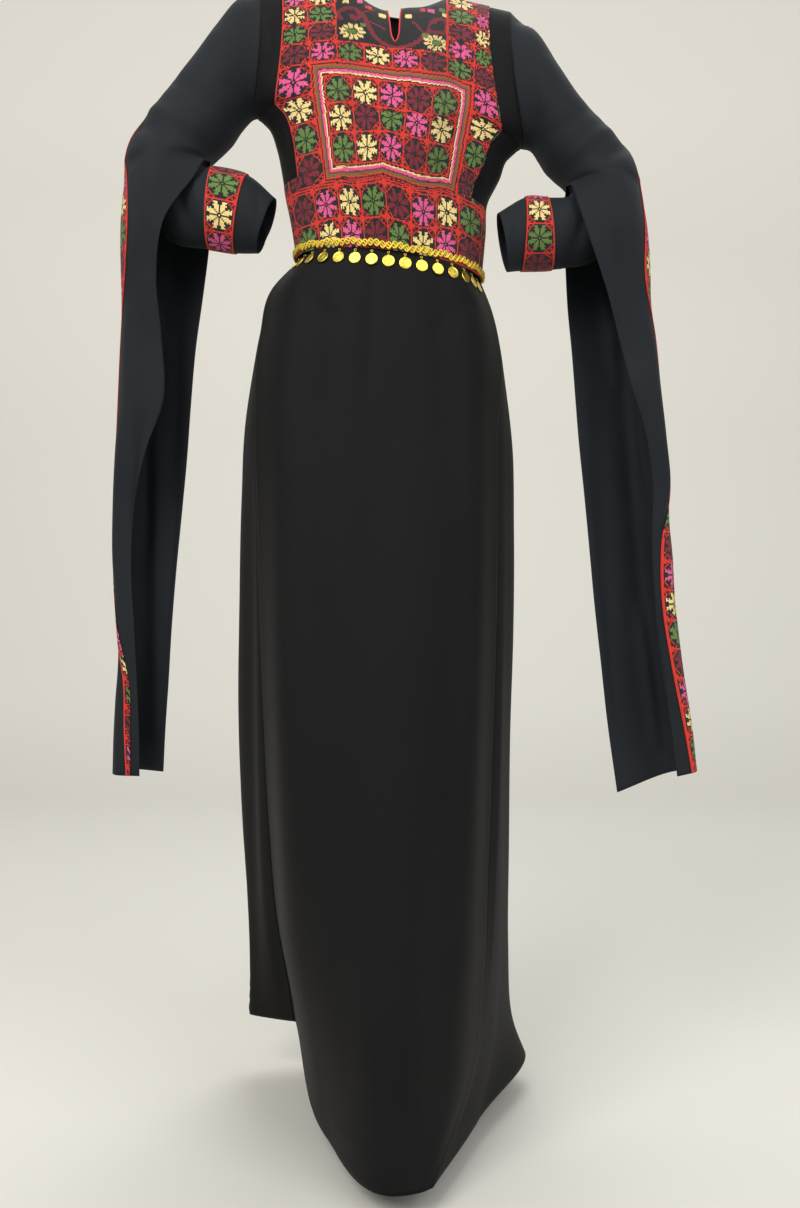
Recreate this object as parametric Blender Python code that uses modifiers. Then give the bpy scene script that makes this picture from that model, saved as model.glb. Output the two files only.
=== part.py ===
"""A long black dress with an embroidered chest panel, winged sleeves and a trim of coins, as it is worn.

Metres, +Z up. The origin is at shoulder level in the middle of the body. The dress faces -Y.
"""

import math

import bmesh
import bpy
import numpy as np
from mathutils import Matrix, Vector

# Cloth and seams
CLOTH_WALL = 0.0015
TRIM_WALL = 0.0012
SEAM_GAP = 0.0003
SEAM_INSET = 0.0004
SLEEVE_INSET = 0.0012
SHORTER_DIAGONAL_SHARE = 0.8

# Bodice: waist seam, shoulder points, neck points and armpits as (x, y, z)
WAIST_LEFT = (-0.1280, 0.000, -0.3500)
WAIST_RIGHT = (0.1255, 0.000, -0.3790)
WAIST_FRONT_Y = -0.100
WAIST_BACK_Y = 0.092
SHOULDER_LEFT = (-0.1780, 0.000, 0.0220)
SHOULDER_RIGHT = (0.1650, 0.000, -0.0100)
NECK_LEFT = (-0.0700, 0.000, 0.0430)
NECK_RIGHT = (0.0830, 0.000, 0.0120)
ARMPIT_LEFT = (-0.1850, 0.000, -0.1500)
ARMPIT_RIGHT = (0.1820, 0.000, -0.1920)
ARMHOLE_DEPTH = 0.056
ARMHOLE_CURVE_IN = 0.010
FRONT_NECK = ((-0.0360, -0.062, -0.0230), (0.0010, -0.073, -0.0450), (0.0065, -0.073, -0.0450),
              (0.0150, -0.073, -0.0420), (0.0470, -0.066, -0.0350))
BACK_NECK = ((-0.0450, 0.036, 0.0230), (0.0065, 0.050, 0.0110), (0.0560, 0.036, 0.0050))
BUST_FULLNESS = 0.036
BACK_FULLNESS = 0.030
SLIT_WIDTH = 0.018
SLIT_DEPTH_SHARE = 0.20

# Side seams from the waist up to the armpit: x, z
SIDE_SEAM_LEFT = ((-0.1360, -0.300), (-0.1434, -0.265), (-0.1476, -0.237), (-0.1560, -0.196),
                  (-0.1670, -0.168))
SIDE_SEAM_RIGHT = ((0.1310, -0.320), (0.1366, -0.265), (0.1448, -0.250), (0.1517, -0.237), (0.1630, -0.210))

# Where the rows of the bodice lie, from the waist seam (0) to the shoulder (1)
BAND_TOP_SHARE = 0.235
ARMPIT_SHARE = 0.50
PANEL_SIDE_SHARE = 0.085

# Skirt sections from the waist to the hem: level z, then x and y of the left seam, front, right seam,
# right side, back and left side, and how full the front is
SKIRT_COLUMNS = ("level", "seam_left", "front", "seam_right", "side_right", "back", "side_left", "fullness")
SKIRT_ROWS = (
    (-0.3645, (-0.1280, 0.000), (0.000, -0.100), (0.1255, 0.000),
     (0.1235, 0.025), (0.000, 0.092), (-0.1260, 0.025), 0.72),
    (-0.400, (-0.1600, -0.004), (0.000, -0.107), (0.1390, -0.004),
     (0.1380, 0.030), (-0.002, 0.112), (-0.1590, 0.030), 0.72),
    (-0.470, (-0.1780, -0.012), (-0.005, -0.119), (0.1525, -0.012),
     (0.1555, 0.030), (-0.006, 0.130), (-0.1810, 0.030), 0.72),
    (-0.580, (-0.1825, -0.040), (-0.012, -0.131), (0.1456, -0.040),
     (0.1697, 0.015), (-0.015, 0.140), (-0.2003, 0.015), 0.72),
    (-0.700, (-0.1780, -0.050), (-0.015, -0.148), (0.1447, -0.050),
     (0.1730, 0.020), (-0.017, 0.142), (-0.2077, 0.020), 0.71),
    (-0.850, (-0.1743, -0.050), (-0.015, -0.170), (0.1422, -0.050),
     (0.1729, 0.030), (-0.018, 0.150), (-0.2121, 0.030), 0.70),
    (-1.000, (-0.1700, -0.040), (-0.012, -0.193), (0.1367, -0.060),
     (0.1688, 0.050), (-0.018, 0.160), (-0.2162, 0.050), 0.69),
    (-1.150, (-0.1660, -0.010), (-0.008, -0.216), (0.1296, -0.080),
     (0.1668, 0.070), (-0.018, 0.171), (-0.2144, 0.070), 0.67),
    (-1.300, (-0.1594, 0.040), (0.000, -0.240), (0.1214, -0.100),
     (0.1647, 0.100), (-0.016, 0.182), (-0.2104, 0.100), 0.65),
    (-1.420, (-0.1455, 0.090), (0.010, -0.259), (0.0990, -0.140),
     (0.1700, 0.130), (-0.015, 0.190), (-0.2110, 0.130), 0.63),
    (-1.480, (-0.1420, 0.130), (0.017, -0.272), (0.0520, -0.255),
     (0.1804, 0.157), (-0.012, 0.195), (-0.2150, 0.155), 0.62),
)
HEM_HEIGHT = {"seam_left": -1.445, "front": -1.500, "seam_right": -1.499, "side_right": -1.490,
              "back": -1.480, "side_left": -1.440}
SEAM_TO_SIDE_SHARE = 0.40
SEAM_TO_SIDE_BULGE = 0.03
ROUND_CORNER = 0.715

# Sleeve tubes from the armhole to the elbow: x and z of the outer line and of the underside, front and back y
SLEEVE_TUBE_LEFT = (
    ((-0.2041, 0.0080), (-0.1930, -0.1540), -0.060, 0.058),
    ((-0.2372, -0.0303), (-0.2060, -0.1690), -0.062, 0.058),
    ((-0.2676, -0.0717), (-0.2170, -0.1860), -0.063, 0.058),
    ((-0.3000, -0.1130), (-0.2262, -0.1958), -0.064, 0.058),
    ((-0.3296, -0.1544), (-0.2341, -0.2030), -0.067, 0.058),
    ((-0.3520, -0.1900), (-0.2414, -0.2096), -0.072, 0.058),
    ((-0.3600, -0.2180), (-0.2465, -0.2160), -0.078, 0.058),
)
SLEEVE_TUBE_RIGHT = (
    ((0.1960, -0.0350), (0.1959, -0.1958), -0.060, 0.058),
    ((0.2300, -0.0855), (0.2055, -0.2096), -0.062, 0.058),
    ((0.2579, -0.1268), (0.2138, -0.2234), -0.063, 0.058),
    ((0.2828, -0.1544), (0.2210, -0.2310), -0.064, 0.058),
    ((0.3048, -0.1820), (0.2276, -0.2372), -0.067, 0.058),
    ((0.3283, -0.2096), (0.2345, -0.2430), -0.072, 0.058),
    ((0.3385, -0.2400), (0.2410, -0.2500), -0.078, 0.058),
)
# Wings from the elbow to the tip: free front edge x, y, z, outer fold x, z, inner back edge x, y, z, front
# and back y of the two layers, and how round the section is
WING_LEFT = (
    ((-0.2490, -0.0480, -0.2280), (-0.3612, -0.2360), (-0.2505, 0.0320, -0.2320), -0.082, 0.058, 0.47),
    ((-0.2580, -0.0740, -0.2600), (-0.3614, -0.2600), (-0.2530, 0.0460, -0.2620), -0.086, 0.058, 0.44),
    ((-0.2960, -0.0820, -0.3190), (-0.3630, -0.3150), (-0.2560, 0.0400, -0.3200), -0.080, 0.055, 0.38),
    ((-0.3090, -0.0660, -0.3900), (-0.3628, -0.3850), (-0.2640, 0.0360, -0.3900), -0.062, 0.050, 0.30),
    ((-0.3050, -0.0500, -0.4650), (-0.3680, -0.4600), (-0.2735, 0.0320, -0.4650), -0.046, 0.045, 0.26),
    ((-0.3030, -0.0440, -0.5450), (-0.3735, -0.5400), (-0.2800, 0.0300, -0.5450), -0.038, 0.042, 0.24),
    ((-0.3290, -0.0380, -0.6150), (-0.3775, -0.6150), (-0.2850, 0.0300, -0.6150), -0.034, 0.040, 0.24),
    ((-0.3460, -0.0300, -0.6950), (-0.3803, -0.6950), (-0.2925, 0.0300, -0.6950), -0.028, 0.038, 0.24),
    ((-0.3510, -0.0270, -0.7750), (-0.3800, -0.7750), (-0.3000, 0.0280, -0.7750), -0.024, 0.036, 0.24),
    ((-0.3470, -0.0270, -0.8550), (-0.3745, -0.8550), (-0.3060, 0.0260, -0.8550), -0.022, 0.034, 0.24),
    ((-0.3430, -0.0280, -0.9300), (-0.3755, -0.9300), (-0.3100, 0.0240, -0.9300), -0.024, 0.034, 0.24),
    ((-0.3400, -0.0300, -0.9950), (-0.3800, -0.9950), (-0.3140, 0.0220, -0.9950), -0.026, 0.034, 0.24),
    ((-0.3390, -0.0300, -1.0550), (-0.3821, -1.0540), (-0.3165, 0.0200, -1.0560), -0.026, 0.034, 0.24),
)
WING_RIGHT = (
    ((0.2425, -0.0480, -0.2610), (0.3415, -0.2560), (0.2440, 0.0320, -0.2640), -0.082, 0.058, 0.47),
    ((0.2480, -0.0740, -0.2960), (0.3445, -0.2800), (0.2460, 0.0460, -0.2950), -0.086, 0.058, 0.44),
    ((0.2640, -0.0820, -0.3480), (0.3500, -0.3180), (0.2475, 0.0400, -0.3450), -0.080, 0.055, 0.38),
    ((0.2880, -0.0660, -0.4080), (0.3540, -0.3850), (0.2500, 0.0360, -0.4050), -0.062, 0.050, 0.30),
    ((0.3080, -0.0500, -0.4700), (0.3620, -0.4550), (0.2555, 0.0320, -0.4700), -0.046, 0.045, 0.26),
    ((0.3260, -0.0440, -0.5350), (0.3710, -0.5280), (0.2602, 0.0300, -0.5350), -0.038, 0.042, 0.24),
    ((0.3450, -0.0380, -0.5950), (0.3775, -0.5950), (0.2650, 0.0300, -0.5950), -0.034, 0.040, 0.24),
    ((0.3560, -0.0300, -0.6650), (0.3830, -0.6650), (0.2722, 0.0300, -0.6650), -0.028, 0.038, 0.24),
    ((0.3540, -0.0270, -0.7400), (0.3850, -0.7400), (0.2790, 0.0280, -0.7400), -0.024, 0.036, 0.24),
    ((0.3590, -0.0270, -0.8200), (0.3910, -0.8200), (0.2860, 0.0260, -0.8200), -0.022, 0.034, 0.24),
    ((0.3690, -0.0270, -0.9050), (0.4010, -0.9050), (0.2950, 0.0240, -0.9050), -0.022, 0.034, 0.24),
    ((0.3820, -0.0270, -0.9900), (0.4140, -0.9900), (0.3040, 0.0220, -0.9900), -0.022, 0.034, 0.24),
    ((0.3900, -0.0270, -1.0560), (0.4205, -1.0500), (0.3170, 0.0200, -1.0850), -0.022, 0.034, 0.24),
)
# Embroidered strips down the wings: level z, then how far the two borders lie before the outer fold
STRIP_LEFT = ((0.020, 0.006, -0.034), (-0.150, 0.010, -0.030), (-0.188, 0.024, -0.016),
              (-0.218, 0.018, -0.022), (-0.250, 0.034, -0.006), (-0.285, 0.060, 0.020), (-0.320, 0.068, 0.028),
              (-0.350, 0.066, 0.026), (-0.395, 0.050, 0.010), (-0.460, 0.014, -0.026), (-0.550, 0.006, -0.034),
              (-0.780, 0.008, -0.028), (-0.855, 0.026, 0.006), (-0.930, 0.046, 0.038), (-0.995, 0.052, 0.044),
              (-1.055, 0.054, 0.048))
STRIP_RIGHT = ((-0.010, 0.006, -0.036), (-0.230, 0.010, -0.032), (-0.300, 0.030, -0.012),
               (-0.345, 0.055, 0.013), (-0.390, 0.053, 0.011), (-0.440, 0.022, -0.020), (-0.500, 0.010, -0.032),
               (-0.665, 0.012, -0.028), (-0.740, 0.042, 0.002), (-0.820, 0.045, 0.005), (-0.905, 0.042, 0.002),
               (-0.990, 0.038, -0.002), (-1.050, 0.034, -0.006))
STRIP_TOP = {"left": -0.140, "right": -0.200}
SLEEVE_FRONT_COLUMNS = 6
SLEEVE_STRIP_COLUMNS = 4
FOREARM_COLUMNS = 17

# How finely the skirt is divided
SKIRT_ROW_COUNT = 15
SKIRT_COLUMN_COUNT = {"front": 19, "back": 25}

# Forearm sleeves: the sleeve ring they are sewn in at, then rings from the elbow to the cuff with the x and z
# of the outer and the inner line, middle y and half depth
FOREARM_SEWN_AT = 5
FOREARM_LEFT = (
    ((-0.3460, -0.2240), (-0.2550, -0.2200), -0.0085, 0.0520),
    ((-0.3360, -0.2800), (-0.2500, -0.2280), -0.0130, 0.0490),
    ((-0.2980, -0.3280), (-0.2440, -0.2325), -0.0200, 0.0470),
    ((-0.2460, -0.3400), (-0.2380, -0.2330), -0.0300, 0.0470),
    ((-0.2080, -0.3500), (-0.1890, -0.2490), -0.0440, 0.0440),
    ((-0.1770, -0.3540), (-0.1510, -0.2835), -0.0550, 0.0340),
)
FOREARM_RIGHT = (
    ((0.3245, -0.2520), (0.2500, -0.2550), -0.0085, 0.0520),
    ((0.3150, -0.3080), (0.2450, -0.2640), -0.0130, 0.0490),
    ((0.2780, -0.3540), (0.2380, -0.2710), -0.0200, 0.0470),
    ((0.2200, -0.3680), (0.2110, -0.2745), -0.0300, 0.0460),
    ((0.1770, -0.3735), (0.1806, -0.2787), -0.0430, 0.0440),
    ((0.1577, -0.3790), (0.1430, -0.3030), -0.0550, 0.0340),
)
CUFF_BAND_RINGS = (5, 6)

# Braid round the waist: how high it reaches on the bodice, from the waist seam (0) to the shoulder (1)
BRAID_TOP_SHARE = 0.035
BRAID_WALL = 0.0024
BRAID_LIFT = 0.0008

# Coins under the braid, each a flat piece with a narrow neck and a bar on top that turns on the joint's axis
COIN_COUNT = 15
COIN_SPACING = 0.0215
COIN_RADIUS = 0.0080
COIN_THICKNESS = 0.0012
COIN_ARC_POINTS = 14
NECK_LENGTH = 0.0040
NECK_HALF_WIDTH = 0.0010
BAR_HALF_LENGTH = 0.0022
BAR_HALF_HEIGHT = 0.0006
COIN_OFF_SKIRT = 0.0007
COIN_UNDER_SEAM = 0.0026

# Colours
BLACK_CLOTH = (0.013, 0.013, 0.015)
EMBROIDERY_RED = (0.55, 0.05, 0.03)
GOLD = (0.78, 0.55, 0.12)
GOLD_THREAD = (0.72, 0.50, 0.08)


def clear_scene():
    for thing in list(bpy.data.objects):
        bpy.data.objects.remove(thing, do_unlink=True)


def new_collection(name):
    group = bpy.data.collections.new(name)
    bpy.context.scene.collection.children.link(group)
    return group


def new_material(name, colour, roughness, metallic=0.0):
    material = bpy.data.materials.new(name)
    material.use_nodes = True
    shader = material.node_tree.nodes["Principled BSDF"]
    shader.inputs["Base Color"].default_value = (*colour, 1.0)
    shader.inputs["Roughness"].default_value = roughness
    shader.inputs["Metallic"].default_value = metallic
    return material


def through(knots, values, at):
    """A smooth curve through values at knots: a cubic between neighbours, with slopes from the chords."""
    knots, values = np.asarray(knots, float), np.asarray(values, float)
    at = np.clip(np.asarray(at, float), knots[0], knots[-1])
    slopes = np.gradient(values, knots, axis=0)
    i = np.clip(np.searchsorted(knots, at, side="right") - 1, 0, len(knots) - 2)
    span = knots[i + 1] - knots[i]
    f = (at - knots[i]) / span
    shape = f.shape + (1,) * (values.ndim - 1)
    f, span = f.reshape(shape), span.reshape(shape)
    start = (2 * f**3 - 3 * f**2 + 1) * values[i] + (f**3 - 2 * f**2 + f) * span * slopes[i]
    end = (3 * f**2 - 2 * f**3) * values[i + 1] + (f**3 - f**2) * span * slopes[i + 1]
    return start + end


def along(points, shares):
    """Points of a smooth curve through the given points, at shares of its length from 0 to 1."""
    points = np.asarray(points, float)
    steps = np.linalg.norm(np.diff(points, axis=0), axis=1)
    knots = np.concatenate([[0.0], np.cumsum(steps)])
    fine = through(knots, points, np.linspace(0.0, knots[-1], 400))
    lengths = np.concatenate([[0.0], np.cumsum(np.linalg.norm(np.diff(fine, axis=0), axis=1))])
    wanted = np.asarray(shares, float) * lengths[-1]
    return np.stack([np.interp(wanted, lengths, fine[:, k]) for k in range(fine.shape[1])], axis=-1)


def normals_of(grid, inside, wraps=False):
    """Unit normals of a grid of points, turned away from the inside points of each row."""
    across = np.gradient(grid, axis=1)
    if wraps:
        ring = np.concatenate([grid[:, -2:-1], grid, grid[:, 1:2]], axis=1)
        across = (ring[:, 2:] - ring[:, :-2]) / 2
    down = np.gradient(grid, axis=0)
    normals = np.cross(across, down)
    normals /= np.linalg.norm(normals, axis=-1, keepdims=True)
    if np.sum(normals * (grid - inside)) < 0:
        normals = -normals
    return normals


def inset(grid, low_row=0.0, high_row=0.0, low_column=0.0, high_column=0.0):
    """The grid with its edges drawn in by the given distances along the sheet."""
    moved = grid.copy()
    for axis, index, towards, distance in ((0, 0, 1, low_row), (0, -1, -2, high_row),
                                           (1, 0, 1, low_column), (1, -1, -2, high_column)):
        edge = np.take(moved, index, axis=axis)
        step = np.take(moved, towards, axis=axis) - edge
        step = step / np.linalg.norm(step, axis=-1, keepdims=True) * distance
        if axis == 0:
            moved[index] = edge + step
        else:
            moved[:, index] = edge + step
    return moved


def sheet_mesh(name, grid, inside, wrapped_rows=0, inner=None):
    """A mesh of the grid, with its faces turned away from the inside; the first rows may close into rings.

    With an inner grid it is closed: outer face, inner face and the rim between them.
    """
    rows, columns = grid.shape[:2]
    index = np.arange(rows * columns).reshape(rows, columns)
    index[:wrapped_rows, -1] = index[:wrapped_rows, 0]
    quads = np.stack([index[:-1, :-1], index[:-1, 1:], index[1:, 1:], index[1:, :-1]], axis=-1).reshape(-1, 4)
    points = grid.reshape(-1, 3)
    corner = points[quads]
    turned = np.cross(corner[:, 1] - corner[:, 0], corner[:, 3] - corner[:, 0])
    outward = corner.mean(axis=1) - np.broadcast_to(inside, grid.shape)[:-1, :-1].reshape(-1, 3)
    flipped = np.sum(turned * outward) < 0
    long_way = np.linalg.norm(corner[:, 0] - corner[:, 2], axis=-1)
    other_way = np.linalg.norm(corner[:, 1] - corner[:, 3], axis=-1) < SHORTER_DIAGONAL_SHARE * long_way
    quads = np.where(other_way[:, None], np.roll(quads, -1, axis=1), quads)
    faces = np.concatenate([quads[:, [0, 1, 2]], quads[:, [0, 2, 3]]])
    if inner is not None:
        starts, ends = faces.ravel(), np.roll(faces, -1, axis=1).ravel()
        single = ~np.isin(starts * len(points) + ends, ends * len(points) + starts)
        starts, ends = starts[single], ends[single]
        far = len(points)
        rim = np.concatenate([np.stack([ends, starts, starts + far], axis=-1),
                              np.stack([ends, starts + far, ends + far], axis=-1)])
        faces = np.concatenate([faces, faces[:, ::-1] + far, rim])
        points = np.concatenate([points, inner.reshape(-1, 3)])
    if flipped:
        faces = faces[:, ::-1]
    used, faces = np.unique(faces, return_inverse=True)
    mesh = bpy.data.meshes.new(name)
    mesh.from_pydata(points[used].tolist(), [], faces.reshape(-1, 3).tolist())
    mesh.validate()
    return mesh


def add_object(name, mesh, material, group):
    thing = bpy.data.objects.new(name, mesh)
    mesh.materials.append(material)
    mesh.shade_smooth()
    group.objects.link(thing)
    return thing


def add_sheet(name, grid, inside, wall, material, group, wrapped_rows=0):
    """A cloth piece: the grid is its outer face, and Solidify gives it its wall inwards."""
    thing = add_object(name, sheet_mesh(name, grid, inside, wrapped_rows), material, group)
    solidify = thing.modifiers.new("wall", "SOLIDIFY")
    solidify.thickness = wall
    solidify.offset = -1.0
    solidify.use_quality_normals = True
    return thing


def add_panel(name, grid, normals, inside, wall, material, group, wrapped_rows=0):
    """A cloth piece whose inner face follows the given normals, as where it meets a neighbour in a mitre."""
    mesh = sheet_mesh(name, grid, inside, wrapped_rows, inner=grid - normals * wall)
    return add_object(name, mesh, material, group)


def mitred(normals, own, other):
    """A panel's normals, those of one edge turned halfway to its neighbour's and lengthened to keep the wall."""
    half = normals[own] + other
    half /= np.linalg.norm(half, axis=-1, keepdims=True)
    share = np.clip(np.sum(half * normals[own], axis=-1, keepdims=True), 0.6, 1.0)
    turned = normals.copy()
    turned[own] = half / share
    return turned


def armhole(shoulder, armpit, turn):
    """The armhole loop: a turn of 0 is the shoulder, a quarter is the front, a half is the armpit."""
    shoulder, armpit = np.asarray(shoulder), np.asarray(armpit)
    angle = 2 * math.pi * np.asarray(turn)[..., None]
    middle, half = (shoulder + armpit) / 2, (shoulder - armpit) / 2
    depth = np.array([0.0, -ARMHOLE_DEPTH, 0.0])
    curve_in = np.array([-math.copysign(ARMHOLE_CURVE_IN, middle[0]), 0.0, 0.0])
    return middle + np.cos(angle) * half + np.sin(angle) * depth + np.sin(angle) ** 2 * curve_in


def bodice_edge(shoulder, armpit, waist, seam, share, front):
    """One edge of the bodice: up the side seam to the armpit, then round the armhole to the shoulder."""
    seam_points = [waist] + [(x, 0.0, z) for x, z in seam] + [armpit]
    below = along(seam_points, np.clip(share / ARMPIT_SHARE, 0, 1))
    rise = np.clip((share - ARMPIT_SHARE) / (1 - ARMPIT_SHARE), 0, 1)
    turn = 0.5 - 0.5 * rise if front else 0.5 + 0.5 * rise
    above = armhole(shoulder, armpit, turn)
    return np.where((share < ARMPIT_SHARE)[..., None], below, above)


def waist_point(share, front):
    """The waist seam from left to right as half an ellipse."""
    left, right = np.asarray(WAIST_LEFT), np.asarray(WAIST_RIGHT)
    share = np.asarray(share)[..., None]
    point = left + (right - left) * share
    depth = WAIST_FRONT_Y if front else WAIST_BACK_Y
    round_share = np.sqrt(np.clip(1 - (2 * share - 1) ** 2, 0, 1))
    return point + round_share * np.array([0.0, depth, 0.0])


def top_point(share, front):
    """The upper edge at shares of the width: left shoulder seam, neckline, right shoulder seam."""
    neck = FRONT_NECK if front else BACK_NECK
    points = np.array([NECK_LEFT, *neck, NECK_RIGHT])
    width = SHOULDER_RIGHT[0] - SHOULDER_LEFT[0]
    knots = (points[:, 0] - SHOULDER_LEFT[0]) / width
    neckline = through(knots, points, share)
    left_seam = np.asarray(SHOULDER_LEFT) + (points[0] - SHOULDER_LEFT) * (share / knots[0])[..., None]
    right_share = ((share - knots[-1]) / (1 - knots[-1]))[..., None]
    right_seam = points[-1] + (np.asarray(SHOULDER_RIGHT) - points[-1]) * right_share
    share = share[..., None]
    return np.where(share < knots[0], left_seam, np.where(share > knots[-1], right_seam, neckline))


def bodice_surface(across, up, front):
    """The bodice at shares across and up: ruled from waist to top edge, drawn to the side edges, filled out."""
    base = (1 - up)[..., None] * waist_point(across, front) + up[..., None] * top_point(across, front)
    zero, one = np.zeros_like(across), np.ones_like(across)
    left = bodice_edge(SHOULDER_LEFT, ARMPIT_LEFT, WAIST_LEFT, SIDE_SEAM_LEFT, up, front)
    right = bodice_edge(SHOULDER_RIGHT, ARMPIT_RIGHT, WAIST_RIGHT, SIDE_SEAM_RIGHT, up, front)
    low, high = (1 - up)[..., None], up[..., None]
    left_shift = left - (low * waist_point(zero, front) + high * top_point(zero, front))
    right_shift = right - (low * waist_point(one, front) + high * top_point(one, front))
    near_left = np.stack([1 - across, (1 - across) ** 4, 1 - across], axis=-1)
    near_right = np.stack([across, across**4, across], axis=-1)
    fullness = -BUST_FULLNESS if front else BACK_FULLNESS
    swell = np.sin(math.pi * up**0.85) ** 1.3 * np.sin(math.pi * across) ** 0.8
    outward = np.stack([zero, fullness * swell, zero], axis=-1)
    return base + near_left * left_shift + near_right * right_shift + outward


def bodice_columns(front):
    """Shares across: close at the side edges, at the neck points and, in front, at the slit."""
    width = SHOULDER_RIGHT[0] - SHOULDER_LEFT[0]
    neck_left = (NECK_LEFT[0] - SHOULDER_LEFT[0]) / width
    neck_right = (NECK_RIGHT[0] - SHOULDER_LEFT[0]) / width
    slit_middle = (FRONT_NECK[2][0] - SHOULDER_LEFT[0]) / width
    slit_half = SLIT_WIDTH / 2 / width
    if not front:
        stops = ((0.0, 0.02), (0.02, 0.09), (0.09, neck_left), (neck_left, neck_right), (neck_right, 0.91),
                 (0.91, 0.98), (0.98, 1.0))
        counts = (1, 2, 3, 7, 3, 2, 1)
    else:
        stops = ((0.0, 0.015), (0.015, PANEL_SIDE_SHARE), (PANEL_SIDE_SHARE, neck_left),
                 (neck_left, slit_middle - slit_half), (slit_middle - slit_half, slit_middle + slit_half),
                 (slit_middle + slit_half, neck_right), (neck_right, 1 - PANEL_SIDE_SHARE),
                 (1 - PANEL_SIDE_SHARE, 0.985), (0.985, 1.0))
        counts = (1, 2, 4, 5, 2, 5, 4, 2, 1)
    columns = [0.0]
    for (start, end), count in zip(stops, counts):
        columns.extend(np.linspace(start, end, count + 1)[1:])
    return np.array(columns)


BODICE_ROWS = np.concatenate([[0.0], np.linspace(BRAID_TOP_SHARE, BAND_TOP_SHARE, 4),
                              np.linspace(BAND_TOP_SHARE, ARMPIT_SHARE, 3)[1:],
                              np.linspace(ARMPIT_SHARE, 1.0, 9)[1:]])


def bodice_grid(front):
    across, up = np.meshgrid(bodice_columns(front), BODICE_ROWS)
    if front:
        width = SHOULDER_RIGHT[0] - SHOULDER_LEFT[0]
        slit_column = (FRONT_NECK[2][0] - SHOULDER_LEFT[0]) / width
        drop = SLIT_DEPTH_SHARE * np.clip((up - ARMPIT_SHARE) / (1 - ARMPIT_SHARE), 0, 1) ** 2
        up = np.where(np.abs(across - slit_column) < 1e-6, up - drop, up)
    return bodice_surface(across, up, front)


def body_axis(grid):
    """Points in the middle of the body at the height of each point of a grid."""
    middle = grid.copy()
    middle[..., 0] = 0.0
    middle[..., 1] = 0.0
    return middle


def ring_middles(grid):
    """The middle of each row of a grid, for each of its points."""
    return grid.mean(axis=1, keepdims=True) * np.ones_like(grid)


def skirt_table(column, levels):
    rows = [dict(zip(SKIRT_COLUMNS, row)) for row in SKIRT_ROWS]
    knots = [-row["level"] for row in rows]
    return through(knots, [row[column] for row in rows], -levels)


def corner(side, middle, fullness):
    """The shoulder of a section, between its side and its middle: far across, less far in."""
    return middle + (side - middle) * np.array([fullness, 1 - fullness])


def skirt_section(level, part, shares):
    """The skirt's front or back at one level as a smooth curve from the left seam to the right seam."""
    point = {name: skirt_table(name, np.array([level]))[0] for name in SKIRT_COLUMNS[1:]}
    if part == "front":
        corners = [corner(point[name], point["front"], point["fullness"]) for name in ("seam_left", "seam_right")]
        route = (point["seam_left"], corners[0], point["front"], corners[1], point["seam_right"])
        return along(route, shares)

    def on_the_way(seam, side, out):
        step = side - seam
        return seam + step * SEAM_TO_SIDE_SHARE + np.array([step[1], -step[0]]) * SEAM_TO_SIDE_BULGE * out

    def back_corner(side):
        return corner(side, point["back"], ROUND_CORNER)

    route = (point["seam_left"], on_the_way(point["seam_left"], point["side_left"], -1), point["side_left"],
             back_corner(point["side_left"]), point["back"], back_corner(point["side_right"]),
             point["side_right"], on_the_way(point["seam_right"], point["side_right"], 1), point["seam_right"])
    return along(route, shares)


def skirt_grid(part, columns, rows):
    """The skirt's front or back: sections from waist to hem, tilted with the waist seam and the hem."""
    drop = np.concatenate([np.linspace(0, 0.10, 5)[:-1], np.linspace(0.10, 1.0, rows - 3)])
    top, bottom = SKIRT_ROWS[0][0], SKIRT_ROWS[-1][0]
    shares = np.linspace(0, 1, columns)
    grid = np.zeros((len(drop), columns, 3))
    for i, share in enumerate(drop):
        grid[i, :, :2] = skirt_section(top + (bottom - top) * share, part, shares)
    slope = (WAIST_RIGHT[2] - WAIST_LEFT[2]) / (WAIST_RIGHT[0] - WAIST_LEFT[0])
    waist_z = WAIST_LEFT[2] + slope * (grid[0, :, 0] - WAIST_LEFT[0])
    names = ("seam_left", "front", "seam_right") if part == "front" else (
        "seam_left", "side_left", "back", "side_right", "seam_right")
    stops = (0, 0.5, 1) if part == "front" else (0, 0.22, 0.5, 0.75, 1)
    hem_z = through(stops, [HEM_HEIGHT[name] for name in names], shares)
    grid[:, :, 2] = waist_z + (hem_z - waist_z) * drop[:, None]
    return grid


def tube_ring(outer, inner, front_y, back_y, turn):
    """An oval ring: a turn of 0 is its inner line, a quarter is the front, a half is its outer line."""
    angle = 2 * math.pi * turn[:, None]
    outer = np.array([outer[0], 0.0, outer[1]])
    inner = np.array([inner[0], 0.0, inner[1]])
    middle = (outer + inner) / 2 + np.array([0.0, (front_y + back_y) / 2, 0.0])
    depth = np.array([0.0, (front_y - back_y) / 2, 0.0])
    return middle - np.cos(angle) * (outer - inner) / 2 + np.sin(angle) * depth


SLEEVE_TURNS = np.linspace(0, 1, 2 * SLEEVE_FRONT_COLUMNS + SLEEVE_STRIP_COLUMNS + 1)
FINE = np.linspace(0, 1, 400)


def wing_line(free, outer, inner, front_y, back_y, roundness):
    """A wing's section: from the free front edge over the front layer and the outer fold to the inner back edge."""
    free, inner = np.asarray(free), np.asarray(inner)
    fold = np.array([outer[0], (front_y + back_y) / 2, outer[1]])
    front = fold + (free - fold) * roundness
    front[1] = front_y
    back = fold + (inner - fold) * roundness
    back[1] = back_y
    return along((free, front, fold, back, inner), FINE), fold


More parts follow.
